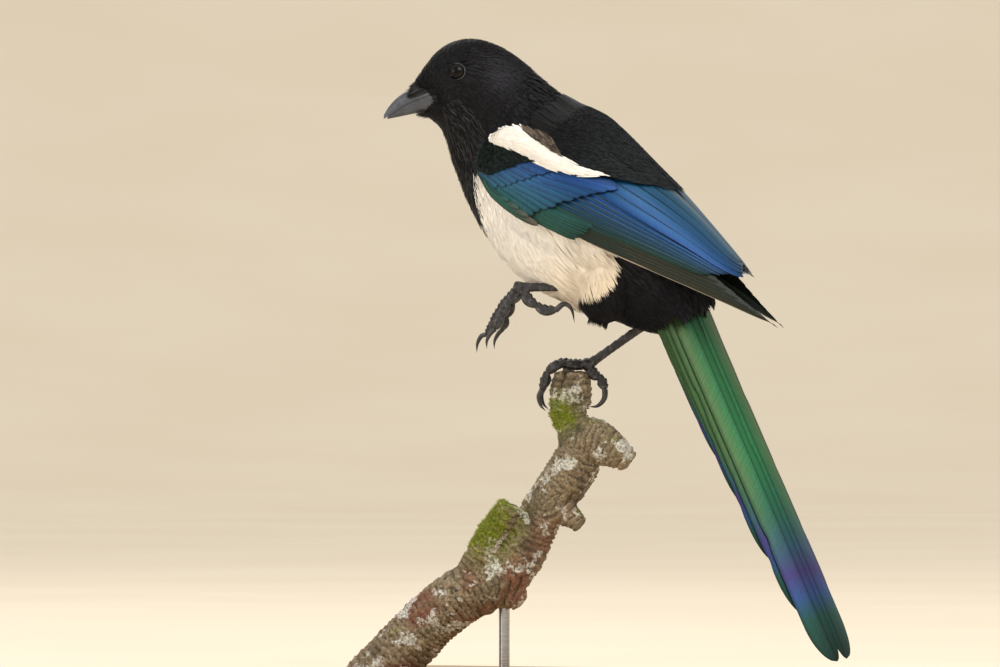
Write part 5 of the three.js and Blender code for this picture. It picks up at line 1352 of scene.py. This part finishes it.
# Branch: tubes fused, then pushed in and out along their normals: broad lumps, and a ledge at every ring of
# bark, steep on its upper side, whose place wanders round the stem
def makeBranch():
    def along(path, radii, sides, steps):
        size = through(np.linspace(0, 1, len(radii)), radii)
        return tube(path, lambda t, angle: size(t) + 0 * angle, sides, steps, up=(0, 1, 0))
    shapes = [(along(branch["path"], branch["radii"], 48, 160), ringFaces(161, 48))]
    for path, radii in branch["lumps"]:
        shapes.append((along(path, radii, 32, 40), ringFaces(41, 32)))
    piece = fused("branch_bark", shapes, branch["voxel"], smooth=3)
    p = pointsOf(piece)
    normals = np.empty(len(p) * 3, np.float32)
    piece.data.vertices.foreach_get("normal", normals)
    normals = normals.reshape(-1, 3)
    # arc length of the nearest stem point, on the main stem or on the shoot
    lines = []
    for number, path in enumerate([branch["path"]] + [lump[0] for lump in branch["lumps"]]):
        path = np.array(path, float)
        share = np.linspace(0, len(path) - 1, 240)
        line = np.stack([through(np.arange(len(path)), path[:, i])(share) for i in range(3)], -1)
        run = np.concatenate([[0], np.cumsum(np.linalg.norm(np.diff(line, axis=0), axis=1))])
        lines.append((line, run + 40 * number))
    allLine = np.concatenate([line for line, _ in lines])
    allRun = np.concatenate([run for _, run in lines])
    nearest = np.concatenate([np.argmin(((block[:, None] - allLine[None]) ** 2).sum(-1), 1)
                              for block in np.array_split(p, 60)])
    ring = allRun[nearest] + 2.2 * ripple(p, 38, 3) + 0.7 * ripple(p, 9, 4)
    step = (ring / branch["ringGap"]) % 1
    strength = np.clip(0.75 + 0.6 * ripple(p, 24, 5), 0.15, 1.3)
    ledge = (smoothstep(step, 0, 0.16) * (1 - step) ** 0.8) * 1.6 * strength
    rough = 0.35 * ripple(p, 5, 6) + 0.7 * ripple(p, 17, 7)
    flat = p[:, 2] < branch["level"] + 0.6
    push = np.where(flat, 0, ledge + rough - 0.7)
    # a cleft runs down from the broken end under the foot
    cleft = np.abs(p[:, 0] - (-20 - 0.32 * (178 - p[:, 2]))) / 1.5
    push -= 3.2 * np.exp(-cleft ** 2) * smoothstep(p[:, 2], 157, 166) * (normals[:, 1] < 0.1)
    p = p + normals * push[:, None]
    p[:, 2] = np.maximum(p[:, 2], branch["level"])
    movePoints(piece, p)
    moss = 1.25 * np.exp(-(np.linalg.norm((p - [-25, -5, 156]) / [10, 12, 9], axis=1)) ** 2)
    moss += 1.3 * np.exp(-(np.linalg.norm((p - [-63, -14, 97]) / [15, 14, 16], axis=1)) ** 2) * (normals[:, 2]
            - 0.5 * normals[:, 1] > -0.1)
    moss += 0.5 * smoothstep(ripple(p, 30, 8), 0.35, 0.8) * smoothstep(normals[:, 2], 0.1, 0.8)
    moss *= 0.65 + 0.7 * smoothstep(ripple(p, 6, 9), -0.5, 0.5)
    putMarks(piece.data, {"ledge": np.clip(ledge, 0, 2), "moss": np.clip(moss, 0, 1),
                          "low": smoothstep(p[:, 2], 150, 40)})
    piece.data.update()
    return piece, p, normals, moss


branchPiece, branchPoints, branchNormals, branchMoss = makeBranch()
barkMaterial, barkTree, barkShader = startMaterial("bark, weathered peeling cherry", roughness=0.85, ior=1.45)
barkObject = addNode(barkTree, "TexCoord", out="Object")
barkFine = addNode(barkTree, "TexNoise", {"Vector": barkObject, "Scale": 700.0, "Detail": 6.0,
                                          "Roughness": 0.65}, out="Fac")
barkBroad = addNode(barkTree, "TexNoise", {"Vector": barkObject, "Scale": 90.0, "Detail": 4.0,
                                           "Roughness": 0.6}, out="Fac")
barkPatch = addNode(barkTree, "TexNoise", {"Vector": barkObject, "Scale": 45.0, "Detail": 3.0}, out="Fac")
greyBark = addNode(barkTree, "ValToRGB", {0: barkFine}, stops=[(0.25, "#3f3628"), (0.5, "#7b6c54"),
        (0.75, "#ada084")])
redBark = addNode(barkTree, "ValToRGB", {0: barkFine}, stops=[(0.3, "#4a2c20"), (0.7, "#8a5b45")])
redShare = addNode(barkTree, "Math",
                   {0: addNode(barkTree, "ValToRGB", {0: barkPatch}, stops=[(0.48, 0.0), (0.6, 1.0)]),
                    1: addNode(barkTree, "Attribute", out="Fac", attribute_name="low")}, operation="MULTIPLY")
barkBase = addNode(barkTree, "Mix", {0: redShare, 6: greyBark, 7: redBark}, out=2, data_type="RGBA")
# painted shade: the bark darkens in the hollow below each ring's ledge, and a slight painted highlight lifts the
# ledges' tops
ledgeShadeAndLight = addNode(barkTree, "ValToRGB", {0: addNode(barkTree, "Attribute", out="Fac", attribute_name="ledge")},
                 stops=[(0.0, 0.2), (0.35, 0.8), (1.0, 1.15)])
barkBase = addNode(barkTree, "Mix", {0: 1.0, 6: barkBase, 7: ledgeShadeAndLight}, out=2, data_type="RGBA",
                   blend_type="MULTIPLY")
# lichen crusts, 4 to 12 mm, and moss
lichen = addNode(barkTree, "Math",
                 {0: addNode(barkTree, "ValToRGB", {0: barkBroad}, stops=[(0.54, 0.0), (0.6, 1.0)]),
                  1: addNode(barkTree, "ValToRGB", {0: barkFine}, stops=[(0.4, 0.2), (0.55, 1.0)])},
                  operation="MULTIPLY")
barkBase = addNode(barkTree, "Mix", {0: lichen, 6: barkBase, 7: addNode(barkTree, "ValToRGB", {0: barkFine},
        stops=[(0.3, "#a9aaa0"), (0.7, "#dcdbd2")])}, out=2, data_type="RGBA")
barkBase = addNode(barkTree, "Mix", {0: addNode(barkTree, "Attribute", out="Fac", attribute_name="moss"),
                                     6: barkBase, 7: addNode(barkTree, "ValToRGB", {0: barkFine},
                                                             stops=[(0.3, "#4a5213"), (0.55, "#7d8a22"),
                                                                     (0.75, "#a9b13c")])}, out=2, data_type="RGBA")
barkTree.links.new(barkBase, barkShader.inputs["Base Color"])
barkTree.links.new(addNode(barkTree, "Bump",
                           {"Height": addNode(barkTree, "Math",
                                              {0: barkFine, 1: addNode(barkTree, "Math", {0: barkBroad, 1: 0.8},
                                                      operation="MULTIPLY")}, operation="ADD"), "Strength": 0.8,
                                                      "Distance": 0.0009}), barkShader.inputs["Normal"])
keep(branchPiece, barkMaterial, ["perch"])


# Moss: short pointed leaves that stand from the bark where its share is high
def mossLeaves(count=5200):
    rng = np.random.default_rng(91)
    weight = np.clip(branchMoss - 0.25, 0, 1)
    chosen = rng.choice(len(branchPoints), count, p=weight / weight.sum())
    root, out = branchPoints[chosen], branchNormals[chosen]
    lean = unit(out + rng.normal(0, 0.55, (count, 3)) + np.array([0, 0, 0.3]))
    side = unit(np.cross(lean, rng.normal(size=(count, 3))))
    reach = rng.uniform(0.9, 2.3, count)[:, None]
    width = rng.uniform(0.14, 0.3, count)[:, None]
    third = np.cross(lean, side)
    base = root - out * 0.3
    corners = [base + side * width, base - side * width * 0.5 + third * width * 0.87, base - side * width * 0.5
               - third * width * 0.87, base + lean * reach]
    p = np.stack(corners, 1)
    faces = repeated([np.array([[0, 2, 1], [0, 1, 3], [1, 2, 3], [2, 0, 3]])], count, 4)
    return putMesh("moss_leaves", p, faces, marks={"tone": np.repeat(rng.uniform(0, 1, count), 4)})


mossMaterial, mossTree, mossShader = startMaterial("moss leaves, living", roughness=0.7, ior=1.4)
mossTree.links.new(addNode(mossTree, "ValToRGB",
                           {0: addNode(mossTree, "Attribute", out="Fac", attribute_name="tone")},
                           stops=[(0.0, "#4d5615"), (0.5, "#808c26"), (1.0, "#b4b94a")]),
                           mossShader.inputs["Base Color"])
keep(mossLeaves(), mossMaterial)


print("stand")
oakMaterial, oakTree, oakShader = startMaterial("oak, planed and oiled", roughness=0.45, ior=1.5)
oakObject = addNode(oakTree, "TexCoord", out="Object")
# growth rings 2 to 3 mm wide, drawn out along the board, with pores under half a millimetre
oakRings = addNode(oakTree, "TexNoise",
                   {"Vector": addNode(oakTree, "Mapping", {"Vector": oakObject, "Scale": (8, 190, 190)}),
                    "Scale": 1.0, "Detail": 4.0, "Roughness": 0.6, "Distortion": 0.4}, out="Fac")
oakPores = addNode(oakTree, "TexNoise",
                   {"Vector": addNode(oakTree, "Mapping", {"Vector": oakObject, "Scale": (60, 2200, 2200)}),
                    "Scale": 1.0, "Detail": 2.0}, out="Fac")
oakColour = addNode(oakTree, "ValToRGB", {0: oakRings}, stops=[(0.3, "#9c7a50"), (0.5, "#c09c6c"),
        (0.7, "#d3b589")])
oakTree.links.new(addNode(oakTree, "Mix", {0: 0.35, 6: oakColour, 7: addNode(oakTree, "ValToRGB", {0: oakPores},
        stops=[(0.35, "#7a5a36"), (0.5, "#cfae80")])}, out=2, data_type="RGBA", blend_type="MULTIPLY"),
        oakShader.inputs["Base Color"])
oakTree.links.new(addNode(oakTree, "Bump", {"Height": oakPores, "Strength": 0.25, "Distance": 0.0003}),
                  oakShader.inputs["Normal"])
steelMaterial, steelTree, steelShader = startMaterial("steel rod, fine turned", roughness=0.3, metallic=1.0)
# turning marks of 0.25 mm
steelLines = addNode(steelTree, "TexNoise",
                     {"Vector": addNode(steelTree, "Mapping",
                                        {"Vector": addNode(steelTree, "TexCoord", out="Object"),
                                         "Scale": (100, 100, 4000)}), "Scale": 1.0}, out="Fac")
steelTree.links.new(addNode(steelTree, "ValToRGB", {0: steelLines}, stops=[(0.3, "#8d8f93"), (0.7, "#b9bbbe")]),
                    steelShader.inputs["Base Color"])
steelTree.links.new(addNode(steelTree, "ValToRGB", {0: steelLines}, stops=[(0.3, 0.24), (0.7, 0.38)]),
                    steelShader.inputs["Roughness"])
for nodeName, material in (("stand_base", oakMaterial), ("stand_rod", steelMaterial)):
    nodes[nodeName].data.materials.clear()
    nodes[nodeName].data.materials.append(material)


print("stage, light and camera")
view = {"azimuth": 22.0, "targetAcross": -55.6, "targetHigh": 201.7, "width": 555.6, "distance": 6.0}
azimuth = np.radians(view["azimuth"])
right, away = np.array([np.cos(azimuth), np.sin(azimuth), 0]), np.array([-np.sin(azimuth), np.cos(azimuth), 0])
target = right * view["targetAcross"] * mm + np.array([0, 0, view["targetHigh"] * mm])

# Floor: flat past the camera, then rising along a parabola, a profile carried round the upright axis
flatTo, wallTo = 6.3, 12.5
across = np.concatenate([0.02 * (flatTo / 0.02) ** np.linspace(0, 1, 40), np.linspace(flatTo, wallTo, 41)[1:]])
profile = np.stack([across, 2.4 * np.clip((across - flatTo) / (wallTo - flatTo), 0, 1) ** 2], -1)
turns = around(128)
stagePoints = np.stack([profile[:, :1] * np.cos(turns), profile[:, :1] * np.sin(turns),
                        profile[:, 1:] + 0 * turns], -1) / mm
floor = putMesh("floor", stagePoints, [ringFaces(80, 128)[0][:, ::-1], np.arange(128)[None]])
floorMaterial, floorTree, floorShader = startMaterial("studio paper, matt", roughness=0.9)
floorFleck = addNode(floorTree, "TexNoise", {"Vector": addNode(floorTree, "TexCoord", out="Object"),
                                             "Scale": 3.0}, out="Fac")
floorTree.links.new(addNode(floorTree, "ValToRGB", {0: floorFleck}, stops=[(0.3, "#e6dcc8"), (0.7, "#eae1cf")]),
                    floorShader.inputs["Base Color"])
floor.data.materials.append(floorMaterial)


def areaLight(name, place, size, watts, colour):
    light = bpy.data.lights.new(name, "AREA")
    light.shape, light.size, light.energy, light.color = "DISK", size, watts, linear(colour)[:3]
    made = bpy.data.objects.new(name, light)
    bpy.context.scene.collection.objects.link(made)
    made.location = place
    made.rotation_euler = Vector(target - place).to_track_quat("-Z", "Y").to_euler()


lights = {
    "key": (target + right * 1.3 - away * 1.9 + np.array([0, 0, 2.4]), 2.3, 62, "#fffcf8"),
    "fill": (target - right * 2.4 - away * 1.4 + np.array([0, 0, 0.8]), 1.8, 22, "#f8f8ff"),
    "rim": (target - right * 0.9 + away * 1.9 + np.array([0, 0, 1.9]), 1.2, 14, "#fffaf2"),
}
for name, (place, size, watts, colour) in lights.items():
    areaLight(name, place, size, watts, colour)

world = bpy.data.worlds.new("soft studio light")
world.use_nodes = True
world.node_tree.nodes["Background"].inputs["Color"].default_value = linear("#fff8ee")
world.node_tree.nodes["Background"].inputs["Strength"].default_value = 0.9
bpy.context.scene.world = world

cameraData = bpy.data.cameras.new("camera")
cameraData.sensor_width = 36
cameraData.lens = 36 * view["distance"] / (view["width"] * mm)
cameraData.clip_end = 60
camera = bpy.data.objects.new("camera", cameraData)
bpy.context.scene.collection.objects.link(camera)
camera.location = target - away * view["distance"]
camera.rotation_euler = (np.pi / 2, 0, azimuth)
bpy.context.scene.camera = camera
bpy.context.scene.view_settings.view_transform = "Standard"
